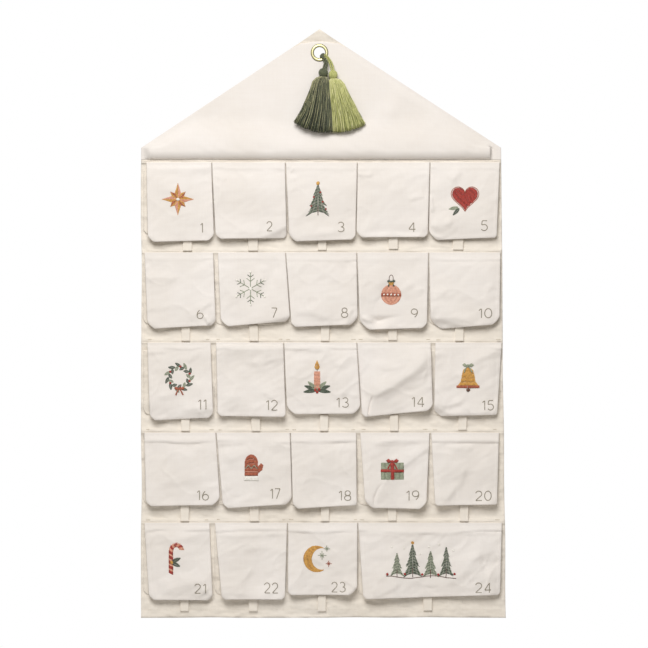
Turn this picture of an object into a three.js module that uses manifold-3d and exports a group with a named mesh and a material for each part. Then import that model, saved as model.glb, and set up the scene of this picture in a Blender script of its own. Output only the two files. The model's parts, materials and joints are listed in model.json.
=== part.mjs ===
// Embroidered advent calendar: a canvas wall hanging with a gable top, twenty-four patch pockets
// under hinged cover flaps, a rod in a channel at the eaves, a brass eyelet and two tassels.
// Millimetres, +Z up, the front faces -Y. The origin is the eyelet's centre at the wall.

import * as THREE from 'three';
import { mergeVertices } from 'three/addons/utils/BufferGeometryUtils.js';
import Module from 'manifold-3d';

// The hanging
const panelWidth = 600;
const roofHeight = 197.4;
const eyeletDrop = 38.8; // the eyelet's centre below the apex
const hemWidth = 15;
const columns = 5;
const rows = 5;
const sideMargin = 3.25; // from the panel's edge to the first column
const eavesToSeam = 24.1; // from the eaves to the first row's seam
const rowPitch = 150;
const footDrop = 158.4; // from the last seam to the bottom edge

// Cloth
const cloth = 0.9; // one layer of canvas
const seatGap = 0.3; // between pieces that touch
const sideHemLayers = 2;
const roofHemLayers = 4; // panel and header are turned together along the roof
const overrun = 1; // how far a cut or a joined piece runs past the face it meets

// Seam ridges, which carry the flaps
const ridgeHeight = 1.5;
const ridgeWidth = 6;
const ridgeTop = 3; // its flat front

// Cover flaps
const flapLength = 131;
const flapThickness = 1.6;
const flapSideGap = 2;
const flapShoulder = 7.5; // how far the cloth stands out over the pocket's mouth
const flapShoulderRun = 8;
const flapLean = 6; // further out at the bottom edge
const flapCornerRadius = 12;
const flapCurl = 3.5; // the most that a loose corner lifts
const flapWave = 1.1; // slow wave across the flap
const foldHeight = 4;
const foldWidth = 14;

// Pockets
const mouthDrop = 12; // the mouth below the seam
const pocketDrop = 121; // the pocket's bottom below the seam
const pocketSideGap = 3.2;
const pocketMouthDepth = 6;
const pocketBagDepth = 9.5;
const pocketFlange = 5; // the sewn margin
const pocketSwell = 13; // from the margin to the full depth
const pocketCornerRadius = 14;

// Tape loops under the pockets
const loopPitch = 115.5;
const loopWidth = 15.3;
const loopBottom = 145.5; // below the seam
const loopDepth = 2.4;
const tape = 0.8;

// Rod and its channel
const rodDiameter = 8;
const channelInset = 17; // from the panel's edge to the channel's end
const rodInset = 3; // from the channel's end to the rod's
const channelDrop = 10.8; // the rod's axis below the eaves
const channelLip = 4; // the stitched strip under the rod
const channelGap = 0.3; // round the rod

// Eyelet
const eyeletBore = 18.7;
const eyeletFlange = 29.2;
const eyeletCrown = 1.8;
const barrelWall = 0.5;
const rollWidth = 2.4;
const rollThickness = 0.6;
const washerThickness = 0.6;

// Tassels: each hangs on a doubled cord out of the bore's lower right
const cordDiameter = 4.4; // both strands of the doubled cord together
const cordBend = 6;
const cordEnd = 0.7; // how far the fixed strand shows before the eyelet's crown
const darkHeadAcross = 6.3; // from the eyelet to the head's centre
const darkHeadDrop = 34;
const darkHeadDiameter = 15.2;
const darkNeckWidth = 18;
const darkFootAcross = -10.5; // from the eyelet to the middle of the skirt's foot
const darkFootDrop = 124.2;
const darkFootWidth = 62;
const lightHeadAcross = 22.5;
const lightHeadDrop = 37.3;
const lightHeadDiameter = 14.4;
const lightNeckWidth = 17.4;
const lightFootAcross = 47.8;
const lightFootDrop = 126;
const lightFootWidth = 53;
const headHeight = 14;
const wrapHeight = 3.4;
const skirtNeckDepth = 13;
const skirtFootDepth = 17;
const skirtRagged = 2.2;
const knotWidth = 9;
const knotThickness = 2.4;
const tailThickness = 1.2;

// Colours
const canvasColour = 0xede6da;
const tapeColour = 0xe6ddcf;
const brassColour = 0xc9b27c;
const woodColour = 0xc8a878;
const darkColour = 0x505a3c;
const lightColour = 0xa5af5f;

// One row for each flap: how far its left and right edges stand off the column at the seam and at
// the bottom, as shares of the column pitch; how much longer its left and right sides are, as shares
// of the flap's length; its corner radii and then the curl of its corners, left and right, as shares
// of the usual ones; and its wave.
const flapShares = [
  [0.01, -0.05, 0.03, -0.01, 0.01, -0.01, 1.2, 1, 0.5, 0.2, 0.3],
  [-0.07, -0.02, -0.02, -0.02, -0.03, -0.1, 0.8, 1.4, 0.2, 1, 0.4],
  [-0.04, -0.01, 0.01, -0.03, 0, -0.02, 0.8, 1, 0.3, 0.5, -0.3],
  [-0.03, 0.01, -0.05, -0.02, -0.05, -0.05, 1, 0.7, 0.5, 0.3, 0.3],
  [-0.01, 0, -0.04, -0.05, -0.03, -0.04, 1.1, 0.6, 0.4, 0.6, -0.5],
  [-0.02, -0.02, 0.03, 0.01, -0.03, -0.08, 1.1, 0.7, 0.4, 0.9, 0.4],
  [0.01, -0.01, 0.06, 0.06, -0.06, -0.13, 1.1, 0.7, 0.3, 0.9, 0.6],
  [-0.04, -0.01, 0.04, 0, -0.05, -0.08, 0.7, 0.6, 0.5, 0.3, -0.4],
  [-0.04, -0.01, 0, -0.03, -0.01, -0.06, 1.2, 0.4, 0.9, 0.2, 0.7],
  [-0.03, 0.01, -0.01, -0.01, -0.04, -0.08, 1.5, 1.1, 0.5, 0.8, -0.3],
  [0.02, -0.06, 0.06, -0.02, 0, -0.02, 0.8, 0.7, 0.3, 0.6, 0.3],
  [-0.02, -0.04, 0.01, -0.01, -0.04, -0.06, 0.6, 0.6, 0.6, 0.3, 0.5],
  [-0.06, -0.01, -0.01, 0.05, -0.09, -0.15, 1, 1.1, 0.4, 1, -0.6],
  [-0.04, 0.03, 0.03, 0.06, -0.06, -0.12, 1, 0.8, 1, 0.6, 0.6],
  [0.06, 0.02, 0.04, -0.04, -0.06, -0.08, 1.1, 0.3, 0.4, 0.4, -0.6],
  [-0.03, 0.01, 0, 0.08, -0.06, -0.14, 0.7, 0.6, 0.3, 0.6, 0.5],
  [-0.01, 0.05, 0.08, 0.08, -0.04, -0.1, 0.8, 1, 0.4, 0.9, -0.4],
  [0.03, -0.02, 0.06, -0.01, -0.03, -0.07, 0.8, 0.3, 0.4, 0.3, 0.4],
  [0, 0.01, 0.08, -0.04, -0.03, -0.03, 1.2, 1.1, 0.7, 0.7, 0.4],
  [0, -0.01, 0.06, -0.04, -0.07, -0.08, 0.4, 0.3, 0.3, 0.3, 0.5],
  [-0.02, -0.08, 0.05, -0.03, -0.02, -0.01, 0.8, 0.8, 0.5, 0.8, -0.4],
  [-0.04, 0.01, 0.07, -0.02, -0.02, -0.03, 0.6, 0.6, 0.3, 0.4, 0.5],
  [-0.01, 0, -0.01, -0.01, -0.08, -0.1, 0.6, 1.4, 0.3, 1, 0.3],
  [-0.02, 0.02, 0.05, 0, -0.03, -0.08, 0.6, 0.4, 0.4, 0.5, 0.4],
];

// Flaps with a main fold: its upper and lower ends as shares of the flap's width and length, and
// its height as a share of foldHeight.
const foldShares = {
  9: [0.85, 0.25, 0.1, 0.95, 0.45],
  14: [0.95, 0.2, 0.12, 0.98, 1],
  13: [0.2, 0.45, 0.8, 0.8, 0.35],
};

const flapRowShares = [0, 0.03, 0.08, 0.17, 0.5, 0.8, 0.9, 0.955, 0.985, 1];
const flapColumnShares = [0, 0.13, 0.38, 0.62, 0.87, 1];
const pocketRowShares = [0, 0.34, 0.72, 0.88, 0.955, 1];
const curlStartShare = 0.6; // where a corner's curl begins, across and down

// One row for each tassel. The angle says where on the bore's rim its cord hangs, from the right.
const tassels = [
  {
    name: 'dark',
    rimAngle: -66,
    head: [darkHeadAcross, darkHeadDrop],
    headDiameter: darkHeadDiameter,
    neckWidth: darkNeckWidth,
    foot: [darkFootAcross, darkFootDrop],
    footWidth: darkFootWidth,
  },
  {
    name: 'light',
    rimAngle: -24,
    head: [lightHeadAcross, lightHeadDrop],
    headDiameter: lightHeadDiameter,
    neckWidth: lightNeckWidth,
    foot: [lightFootAcross, lightFootDrop],
    footWidth: lightFootWidth,
  },
];

// Places worked out from the sizes
const channelLength = panelWidth - 2 * channelInset;
const rodLength = channelLength - 2 * rodInset;
const eavesZ = eyeletDrop - roofHeight;
const apexZ = eyeletDrop;
const halfWidth = panelWidth / 2;
const columnPitch = (panelWidth - 2 * sideMargin) / columns;
const seamZ = (row) => eavesZ - eavesToSeam - row * rowPitch;
const footZ = seamZ(rows - 1) - footDrop;
const columnX = (column) => sideMargin - halfWidth + column * columnPitch;
const panelBack = -roofHemLayers * cloth;
const panelFront = panelBack - cloth;
const headerBack = panelFront - seatGap;
const headerFront = headerBack - cloth;
const hingeY = panelFront - ridgeHeight - seatGap - flapThickness / 2;
const rodRadius = rodDiameter / 2;
const rodY = panelFront - seatGap - rodRadius;
const rodZ = eavesZ - channelDrop;
const boreRadius = eyeletBore / 2;
const barrelRadius = boreRadius + barrelWall;
const flangeRadius = eyeletFlange / 2;
const clothHoleRadius = barrelRadius + seatGap;
const crownY = headerFront - seatGap - eyeletCrown;
const strandY = crownY - cordEnd;

const wasm = await Module();
wasm.setup();

const finish = (colour, roughness, metalness = 0) =>
  new THREE.MeshStandardMaterial({ color: colour, roughness, metalness, side: THREE.FrontSide });
const finishes = {
  canvas: finish(canvasColour, 0.95),
  tape: finish(tapeColour, 0.95),
  brass: finish(brassColour, 0.3, 1),
  wood: finish(woodColour, 0.7),
  dark: finish(darkColour, 0.95),
  light: finish(lightColour, 0.95),
};

// A closed geometry as a solid, and back
function solid(geometry) {
  const bare = geometry.clone();
  for (const name of Object.keys(bare.attributes)) {
    if (name !== 'position') {
      bare.deleteAttribute(name);
    }
  }
  const merged = mergeVertices(bare);
  const triVerts = new Uint32Array(merged.index.array);
  const vertProperties = merged.attributes.position.array;
  return new wasm.Manifold(new wasm.Mesh({ numProp: 3, vertProperties, triVerts }));
}

function geometryOf(manifold) {
  const made = manifold.getMesh();
  const geometry = new THREE.BufferGeometry();
  geometry.setAttribute('position', new THREE.BufferAttribute(made.vertProperties, 3));
  geometry.setIndex(new THREE.BufferAttribute(made.triVerts, 1));
  geometry.computeVertexNormals();
  return geometry;
}

// An outline in X and Z, extruded from y = back towards the front
function plate(outline, back, thickness) {
  const shape = new THREE.Shape(outline.map(([x, z]) => new THREE.Vector2(x, z)));
  const made = new THREE.ExtrudeGeometry(shape, { depth: thickness, bevelEnabled: false });
  return made.rotateX(Math.PI / 2).translate(0, back, 0);
}

// A profile in Y and Z, extruded along X and centred on x
function bar(profile, x, length) {
  const shape = new THREE.Shape(profile.map(([y, z]) => new THREE.Vector2(y, z)));
  const made = new THREE.ExtrudeGeometry(shape, { depth: length, bevelEnabled: false });
  const axes = new THREE.Matrix4().makeBasis(
    new THREE.Vector3(0, 1, 0),
    new THREE.Vector3(0, 0, 1),
    new THREE.Vector3(1, 0, 0),
  );
  return made.applyMatrix4(axes).translate(x - length / 2, 0, 0);
}

// Points on an arc, with angles in degrees
function arc(centreA, centreB, radius, from, to, steps) {
  return Array.from({ length: steps + 1 }, (_, i) => {
    const angle = THREE.MathUtils.degToRad(from + ((to - from) * i) / steps);
    return [centreA + radius * Math.cos(angle), centreB + radius * Math.sin(angle)];
  });
}

// A solid of revolution about the line through x and z that runs along Y
function turned(profile, sides, x = 0, z = 0) {
  const points = profile.map(([radius, y]) => new THREE.Vector2(radius, y));
  return new THREE.LatheGeometry(points, sides).translate(x, 0, z);
}

// A closed sheet of cloth between two grids of points: front and back give a point for a column
// and a row
function sheet(columnCount, rowCount, front, back) {
  const positions = [];
  for (const face of [front, back]) {
    for (let row = 0; row < rowCount; row += 1) {
      for (let column = 0; column < columnCount; column += 1) {
        positions.push(...face(column, row));
      }
    }
  }
  const at = (face, row, column) => (face * rowCount + row) * columnCount + column;
  const faces = [];
  const quad = (a, b, c, d) => faces.push(a, b, c, a, c, d);
  for (let row = 0; row < rowCount - 1; row += 1) {
    for (let column = 0; column < columnCount - 1; column += 1) {
      const [r, c] = [row + 1, column + 1];
      quad(at(0, row, column), at(0, r, column), at(0, r, c), at(0, row, c));
      quad(at(1, row, column), at(1, row, c), at(1, r, c), at(1, r, column));
    }
    const last = columnCount - 1;
    quad(at(0, row, 0), at(1, row, 0), at(1, row + 1, 0), at(0, row + 1, 0));
    quad(at(0, row, last), at(0, row + 1, last), at(1, row + 1, last), at(1, row, last));
  }
  for (let column = 0; column < columnCount - 1; column += 1) {
    const [c, last] = [column + 1, rowCount - 1];
    quad(at(0, 0, column), at(0, 0, c), at(1, 0, c), at(1, 0, column));
    quad(at(0, last, column), at(1, last, column), at(1, last, c), at(0, last, c));
  }
  const geometry = new THREE.BufferGeometry();
  geometry.setAttribute('position', new THREE.Float32BufferAttribute(positions, 3));
  geometry.setIndex(faces);
  geometry.computeVertexNormals();
  return geometry;
}

const lerp = THREE.MathUtils.lerp;
const smoothstep = THREE.MathUtils.smoothstep;

// How far a rounded corner draws an edge in, at a distance above the corner's foot
function cornerInset(radius, above) {
  const within = Math.min(Math.max(radius - above, 0), radius);
  return radius - Math.sqrt(radius * radius - within * within);
}

// The gable outline, drawn in by a margin on every side
function houseOutline(margin) {
  const slope = roofHeight / halfWidth;
  const slant = Math.hypot(1, slope);
  const side = halfWidth - margin;
  const apex = apexZ - margin * slant;
  const eaves = apex - side * slope;
  const foot = footZ + margin;
  return [[0, apex], [-side, eaves], [-side, foot], [side, foot], [side, eaves]];
}

// The same roof, closed off along a level line
function roofOutline(margin, level) {
  const slope = roofHeight / halfWidth;
  const apex = apexZ - margin * Math.hypot(1, slope);
  const side = (apex - level) / slope;
  return [[0, apex], [-side, level], [side, level]];
}

function bore(radius, sides) {
  const reach = panelWidth;
  return solid(turned([[0, -reach], [radius, -reach], [radius, reach], [0, reach]], sides));
}

const boreSides = 32;

// The canvas sheet with its turned hems and the seam ridges
function backPanel() {
  const main = solid(plate(houseOutline(0), panelBack, cloth));
  const hemDepth = sideHemLayers * cloth;
  const cutDepth = 2 * overrun - panelBack;
  const sideHem = solid(plate(houseOutline(0), panelBack + hemDepth, hemDepth + cloth / 2))
    .subtract(solid(plate(houseOutline(hemWidth), overrun, cutDepth)));
  const roofHem = solid(plate(roofOutline(0, eavesZ), 0, cloth / 2 - panelBack))
    .subtract(solid(plate(roofOutline(hemWidth, eavesZ - overrun), overrun, cutDepth)));
  let made = main.add(sideHem).add(roofHem);
  for (let row = 0; row < rows; row += 1) {
    made = made.add(seamRidge(seamZ(row)));
  }
  return geometryOf(made.subtract(bore(clothHoleRadius, boreSides)));
}

function seamRidge(z) {
  const length = panelWidth - 2 * sideMargin;
  const profile = [
    [panelFront + cloth / 2, z - ridgeWidth / 2],
    [panelFront + cloth / 2, z + ridgeWidth / 2],
    [panelFront, z + ridgeWidth / 2],
    [panelFront - ridgeHeight, z + ridgeTop / 2],
    [panelFront - ridgeHeight, z - ridgeTop / 2],
    [panelFront, z - ridgeWidth / 2],
  ];
  return solid(bar(profile, 0, length));
}

// The second layer over the gable, with the rod's channel turned in its lower edge
function headerSheet() {
  const innerRadius = rodRadius + channelGap;
  const outerRadius = innerRadius + cloth;
  const channelSides = 20;
  const gable = solid(plate(roofOutline(0, eavesZ), headerBack, cloth));
  const rim = solid(plate(roofOutline(0, eavesZ), headerBack, 2 * cloth))
    .subtract(solid(plate(roofOutline(hemWidth, eavesZ - overrun), headerBack + overrun, panelWidth)));
  const apron = bar([
    [headerBack, rodZ],
    [headerBack, eavesZ + overrun],
    [headerFront, eavesZ + overrun],
    [headerFront, rodZ],
  ], 0, channelLength);
  const lipTop = rodZ - innerRadius;
  const lip = bar([
    [headerBack, lipTop - channelLip],
    [headerBack, lipTop],
    [headerBack - 2 * cloth, lipTop],
    [headerBack - 2 * cloth, lipTop - channelLip],
  ], 0, channelLength);
  const round = (radius) => arc(rodY, rodZ, radius, 0, 360, channelSides).slice(0, -1);
  const sleeve = bar(round(outerRadius), 0, channelLength);
  const hollow = bar(round(innerRadius), 0, panelWidth);
  const behind = bar([
    [headerBack, rodZ - rodDiameter * 2],
    [0, rodZ - rodDiameter * 2],
    [0, rodZ + rodDiameter * 2],
    [headerBack, rodZ + rodDiameter * 2],
  ], 0, panelWidth);
  const made = gable.add(rim).add(solid(apron)).add(solid(lip)).add(solid(sleeve))
    .subtract(solid(hollow)).subtract(solid(behind));
  return geometryOf(made.subtract(bore(clothHoleRadius, boreSides)));
}

function rod() {
  const rodSides = 16;
  const profile = arc(rodY, rodZ, rodRadius, 0, 360, rodSides).slice(0, -1);
  return bar(profile, 0, rodLength);
}

// The eyelet's crown, barrel and rolled rim, all about the Y axis
function eyeletRing() {
  const back = headerFront - seatGap;
  const crownMid = (boreRadius + flangeRadius) / 2;
  const rollBack = washerBack() + seatGap + rollThickness;
  return turned([
    [boreRadius, rollBack],
    [boreRadius, crownY + eyeletCrown / 3],
    [boreRadius + eyeletCrown / 3, crownY],
    [crownMid, crownY],
    [flangeRadius - eyeletCrown / 2, crownY + eyeletCrown / 3],
    [flangeRadius, back - eyeletCrown / 5],
    [flangeRadius, back],
    [barrelRadius, back],
    [barrelRadius, rollBack - rollThickness],
    [barrelRadius + rollWidth, rollBack - rollThickness],
    [barrelRadius + rollWidth, rollBack],
    [boreRadius, rollBack],
  ], boreSides);
}

// The washer's rear face
function washerBack() {
  return panelBack + seatGap + washerThickness;
}

function washerRing() {
  const [back, front] = [washerBack(), washerBack() - washerThickness];
  return turned([
    [clothHoleRadius, back],
    [clothHoleRadius, front],
    [flangeRadius, front],
    [flangeRadius, back],
    [clothHoleRadius, back],
  ], boreSides);
}

// A cover flap: it hangs from its seam, stands out over the pocket and leans to its bottom edge
function flap(number, firstColumn, lastColumn) {
  const [leftTop, rightTop, leftFoot, rightFoot, leftDrop, rightDrop, leftRound, rightRound,
    leftCurl, rightCurl, wave] = flapShares[number - 1];
  const left = columnX(firstColumn) + flapSideGap;
  const right = columnX(lastColumn + 1) - flapSideGap;
  const width = right - left;
  const leftX = (v) => left + columnPitch * lerp(leftTop, leftFoot, v);
  const rightX = (v) => right + columnPitch * lerp(rightTop, rightFoot, v);
  const fold = foldShares[number];
  const columnShares = flapColumnShares;

  function place(column, row) {
    const [across, v] = [columnShares[column], flapRowShares[row]];
    const length = flapLength * (1 + lerp(leftDrop, rightDrop, across));
    const down = v * length;
    const above = length - down;
    const inLeft = cornerInset(flapCornerRadius * leftRound, above);
    const inRight = cornerInset(flapCornerRadius * rightRound, above);
    const x = lerp(leftX(v) + inLeft, rightX(v) - inRight, across);
    const shoulder = flapShoulder * (1 - Math.exp(-down / flapShoulderRun));
    const foot = smoothstep(v, curlStartShare, 1);
    const curl = leftCurl * smoothstep(1 - across, curlStartShare, 1)
      + rightCurl * smoothstep(across, curlStartShare, 1);
    const sway = (wave + 1) * Math.sin(Math.PI * (across * 2 + wave)) + wave + 1;
    const out = shoulder + flapLean * v + flapCurl * curl * foot + flapWave * sway * v
      + foldOut(fold, across, v, width);
    return [x, out, seamZ(Math.floor((number - 1) / columns)) - down];
  }

  const half = flapThickness / 2;
  const face = (offset) => (column, row) => {
    const [x, out, z] = place(column, row);
    return [x, hingeY - out + offset, z];
  };
  return sheet(columnShares.length, flapRowShares.length, face(-half), face(half));
}

// How far a main fold lifts the cloth at a place on the flap
function foldOut(fold, across, down, width) {
  if (!fold) {
    return 0;
  }
  const [topAcross, topDown, footAcross, footDown, rise] = fold;
  const start = new THREE.Vector2(topAcross * width, topDown * flapLength);
  const end = new THREE.Vector2(footAcross * width, footDown * flapLength);
  const point = new THREE.Vector2(across * width, down * flapLength);
  const run = end.clone().sub(start);
  const along = point.clone().sub(start).dot(run) / run.lengthSq();
  const off = Math.abs(point.clone().sub(start).cross(run)) / run.length();
  return foldHeight * rise * smoothstep(along, 0, 1) * Math.exp(-((off / foldWidth) ** 2));
}

// A patch pocket: a sewn margin on three sides and a bag that stands out to its mouth
function pocket(row, firstColumn, lastColumn) {
  const left = columnX(firstColumn) + pocketSideGap;
  const right = columnX(lastColumn + 1) - pocketSideGap;
  const width = right - left;
  const full = (pocketFlange + pocketSwell) / width;
  const margin = pocketFlange / width;
  const half = (margin + full) / 2;
  const columnShares = [0, margin, half, full, 1 / 2, 1 - full, 1 - half, 1 - margin, 1];
  const length = pocketDrop - mouthDrop;

  function place(column, rowIndex) {
    const down = pocketRowShares[rowIndex] * length;
    const inset = cornerInset(pocketCornerRadius, length - down);
    const across = columnShares[column];
    const x = lerp(left + inset, right - inset, across);
    const edge = Math.min(x - left, right - x) - pocketFlange;
    const foot = length - down - pocketFlange;
    const swell = smoothstep(edge, 0, pocketSwell) * smoothstep(foot, 0, pocketSwell);
    const depth = lerp(pocketMouthDepth, pocketBagDepth, smoothstep(down / length, 0, 1));
    return [x, depth * swell, seamZ(row) - mouthDrop - down];
  }

  const base = panelFront - seatGap;
  const face = (offset) => (column, rowIndex) => {
    const [x, out, z] = place(column, rowIndex);
    return [x, base - out - offset, z];
  };
  return sheet(columnShares.length, pocketRowShares.length, face(cloth), face(0));
}

// The folded tape under a pocket, open through from side to side
function tapeLoop(row, middleColumn) {
  const x = (middleColumn - (columns - 1) / 2) * loopPitch;
  const back = panelFront - seatGap;
  const front = back - loopDepth;
  const top = seamZ(row) - pocketDrop + pocketFlange / 2;
  const foot = seamZ(row) - loopBottom;
  const bend = loopDepth / 2;
  const inner = bend - tape;
  const bendSteps = 4;
  const outside = arc((back + front) / 2, foot + bend, bend, 0, -180, bendSteps);
  const inside = arc((back + front) / 2, foot + bend, inner, -180, 0, bendSteps);
  const profile = [
    [back, top],
    ...outside,
    [front, top - pocketFlange],
    [back - cloth, top],
  ];
  const slot = [
    [(back + front) / 2 - inner, top - pocketFlange],
    ...inside,
    [(back + front) / 2 + inner, top - pocketFlange],
  ];
  const tapeSolid = solid(bar(profile.reverse(), x, loopWidth));
  return tapeSolid.subtract(solid(bar(slot, x, loopWidth + 2 * overrun)));
}

// Where a tassel's parts lie
function tasselPlaces(tassel) {
  const angle = THREE.MathUtils.degToRad(tassel.rimAngle);
  const rim = boreRadius - seatGap - cordDiameter / 2;
  const [exitX, exitZ] = [rim * Math.cos(angle), rim * Math.sin(angle)];
  const headRadius = tassel.headDiameter / 2;
  const headY = headerFront - cloth - seatGap - headRadius;
  const head = new THREE.Vector3(tassel.head[0], headY, -tassel.head[1]);
  const foot = new THREE.Vector3(tassel.foot[0], headY, -tassel.foot[1]);
  const down = foot.clone().sub(head).normalize();
  const top = head.clone().addScaledVector(down, -headHeight / 2);
  return { exitX, exitZ, headRadius, head, foot, down, top };
}

// A round strand along points
function strand(points) {
  const sides = 8;
  const shape = new THREE.Shape(
    arc(0, 0, cordDiameter / 2, 0, 360, sides).slice(0, -1).map(([x, y]) => new THREE.Vector2(x, y)),
  );
  const places = points.map((point) => new THREE.Vector3(...point));
  const extrudePath = new THREE.CatmullRomCurve3(places, false, 'centripetal');
  const steps = 12;
  return new THREE.ExtrudeGeometry(shape, { steps, extrudePath, bevelEnabled: false });
}

// The free stretch of a tassel's cord, out of the bore and down to the head
function tasselCord(tassel) {
  const { exitX, exitZ, top, down } = tasselPlaces(tassel);
  const start = strandY - seatGap;
  const end = top.clone().addScaledVector(down, -seatGap);
  const above = end.clone().addScaledVector(down, -cordDiameter);
  const straight = cordDiameter / 3;
  const turn = arc(start - straight, exitZ - cordBend, cordBend, 90, 180, 3);
  const drift = (z) => exitX + (above.x - exitX) * ((exitZ - z) / (exitZ - above.z));
  return strand([
    [exitX, start, exitZ],
    ...turn.map(([y, z]) => [drift(z), y, z]),
    above.toArray(),
    end.toArray(),
  ]);
}

// The knotted head with its wrapped neck, turned about the tassel's own line
function tasselHead(tassel) {
  const { headRadius, head, down } = tasselPlaces(tassel);
  const neckRadius = tassel.neckWidth * neckShare;
  const wrapTop = -headHeight / 2 + wrapHeight;
  const crown = headCrownShares.map(([radiusShare, heightShare]) => [
    headRadius * radiusShare,
    lerp(wrapTop, headHeight / 2, heightShare),
  ]);
  const profile = [
    [0, -headHeight / 2],
    [neckRadius, -headHeight / 2],
    [neckRadius, wrapTop],
    ...crown,
    [0, headHeight / 2],
  ];
  const headSides = 16;
  const up = new THREE.Vector3(0, 1, 0);
  const turn = new THREE.Quaternion().setFromUnitVectors(up, down.clone().negate());
  return turned(profile, headSides).applyQuaternion(turn).translate(head.x, head.y, head.z);
}

const neckShare = 0.4;
const headCrownShares = [[0.85, 0.08], [1, 0.4], [0.86, 0.75], [0.5, 0.96]];
const skirtWidthShares = [0, 0.2, 0.42, 0.64, 0.83, 1];
const skirtStations = skirtWidthShares.length;
const fluteShare = 0.06;

// The bundle of threads below the neck, flattened against the cloth and spread at the foot
function tasselSkirt(tassel) {
  const { headRadius, head, foot, down } = tasselPlaces(tassel);
  const sides = 24;
  const flutes = 6;
  const start = head.clone().addScaledVector(down, headHeight / 2 + seatGap);
  const across = new THREE.Vector3(-down.z, 0, down.x);
  const backY = head.y + headRadius;
  const positions = [];
  for (let station = 0; station < skirtStations; station += 1) {
    const t = station / (skirtStations - 1);
    const centre = start.clone().lerp(foot, t);
    const halfWide = lerp(tassel.neckWidth, tassel.footWidth, skirtWidthShares[station]) / 2;
    const halfDeep = lerp(skirtNeckDepth, skirtFootDepth, t) / 2;
    for (let side = 0; side < sides; side += 1) {
      const angle = (2 * Math.PI * side) / sides;
      const flute = 1 - fluteShare * t * (1 + Math.cos(flutes * angle));
      const ragged = station === skirtStations - 1 ? skirtRagged * Math.sin(angle * 5) : 0;
      const point = centre.clone()
        .addScaledVector(across, halfWide * flute * Math.cos(angle))
        .addScaledVector(down, ragged);
      point.y = backY - halfDeep - halfDeep * flute * Math.sin(angle);
      positions.push(point.x, point.y, point.z);
    }
  }
  return loft(positions, sides, skirtStations);
}

// Rings of points joined into one closed body
function loft(positions, sides, rings) {
  const faces = [];
  const at = (ring, side) => ring * sides + (side % sides);
  for (let ring = 0; ring < rings - 1; ring += 1) {
    for (let side = 0; side < sides; side += 1) {
      const [a, b] = [at(ring, side), at(ring, side + 1)];
      const [d, c] = [at(ring + 1, side), at(ring + 1, side + 1)];
      faces.push(a, b, c, a, c, d);
    }
  }
  for (const [ring, turn] of [[0, 1], [rings - 1, -1]]) {
    const centre = positions.length / 3;
    const sum = new THREE.Vector3();
    for (let side = 0; side < sides; side += 1) {
      sum.add(new THREE.Vector3().fromArray(positions, at(ring, side) * 3));
    }
    sum.divideScalar(sides);
    positions.push(sum.x, sum.y, sum.z);
    for (let side = 0; side < sides; side += 1) {
      const [a, b] = [at(ring, side), at(ring, side + 1)];
      faces.push(centre, ...(turn > 0 ? [b, a] : [a, b]));
    }
  }
  const geometry = new THREE.BufferGeometry();
  geometry.setAttribute('position', new THREE.Float32BufferAttribute(positions, 3));
  geometry.setIndex(faces);
  geometry.computeVertexNormals();
  return geometry;
}

// The fixed ends of both cords: two strands through the bore, pressed flat behind the eyelet and
// knotted beyond its washer
function tasselAnchor() {
  const tailBack = washerBack() + rollThickness + 2 * seatGap + tailThickness;
  let made;
  const ends = tassels.map(tasselPlaces);
  for (const { exitX, exitZ } of ends) {
    const start = [exitX, tailBack - tailThickness / 2, exitZ];
    const middle = [exitX, (start[1] + strandY) / 2, exitZ];
    const piece = solid(strand([start, middle, [exitX, strandY, exitZ]]));
    made = made ? made.add(piece) : piece;
  }
  const knotDrop = flangeRadius + knotWidth / 2;
  const [first, second] = ends;
  const half = cordDiameter / 2;
  const tail = plate([
    [first.exitX - half, first.exitZ],
    [first.exitX - half, -knotDrop],
    [second.exitX + half, -knotDrop],
    [second.exitX + half, second.exitZ + half],
    [second.exitX - half, second.exitZ + half],
    [first.exitX - half, first.exitZ + half],
  ], tailBack, tailThickness);
  const knotSides = 10;
  const knot = turned([
    [0, tailBack - knotThickness],
    [knotWidth / 2, tailBack - knotThickness],
    [knotWidth / 2, tailBack],
    [0, tailBack],
  ], knotSides, (first.exitX + second.exitX) / 2, -knotDrop);
  return geometryOf(made.add(solid(tail)).add(solid(knot)));
}

const calendar = new THREE.Group();

function addPiece(name, geometry, material) {
  const piece = new THREE.Mesh(geometry, material);
  piece.name = name;
  calendar.add(piece);
}

addPiece('back_panel', backPanel(), finishes.canvas);
addPiece('header_front', headerSheet(), finishes.canvas);
addPiece('dowel', rod(), finishes.wood);
addPiece('eyelet', eyeletRing(), finishes.brass);
addPiece('eyelet_washer', washerRing(), finishes.brass);
addPiece('tassel_anchor', tasselAnchor(), finishes.dark);
for (const tassel of tassels) {
  const material = finishes[tassel.name];
  addPiece(`${tassel.name}_tassel_cord`, tasselCord(tassel), material);
  addPiece(`${tassel.name}_tassel_head`, tasselHead(tassel), material);
  addPiece(`${tassel.name}_tassel_skirt`, tasselSkirt(tassel), material);
}

// Twenty-four places: the last one is two columns wide
const places = rows * columns - 1;
for (let number = 1; number <= places; number += 1) {
  const row = Math.floor((number - 1) / columns);
  const firstColumn = (number - 1) % columns;
  const lastColumn = number === places ? columns - 1 : firstColumn;
  const label = String(number).padStart(2, '0');
  const bag = solid(pocket(row, firstColumn, lastColumn));
  const loop = tapeLoop(row, (firstColumn + lastColumn) / 2);
  addPiece(`pocket_${label}`, geometryOf(bag.add(loop)), finishes.tape);
  addPiece(`flap_${label}`, flap(number, firstColumn, lastColumn), finishes.canvas);
}

export default calendar;
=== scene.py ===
# The looks of the embroidered advent calendar: canvas, pockets, flaps, thread work, brass and
# tassels, built in metres in the part's own frame and riding on its bodies.
import json
import math
import random

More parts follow.
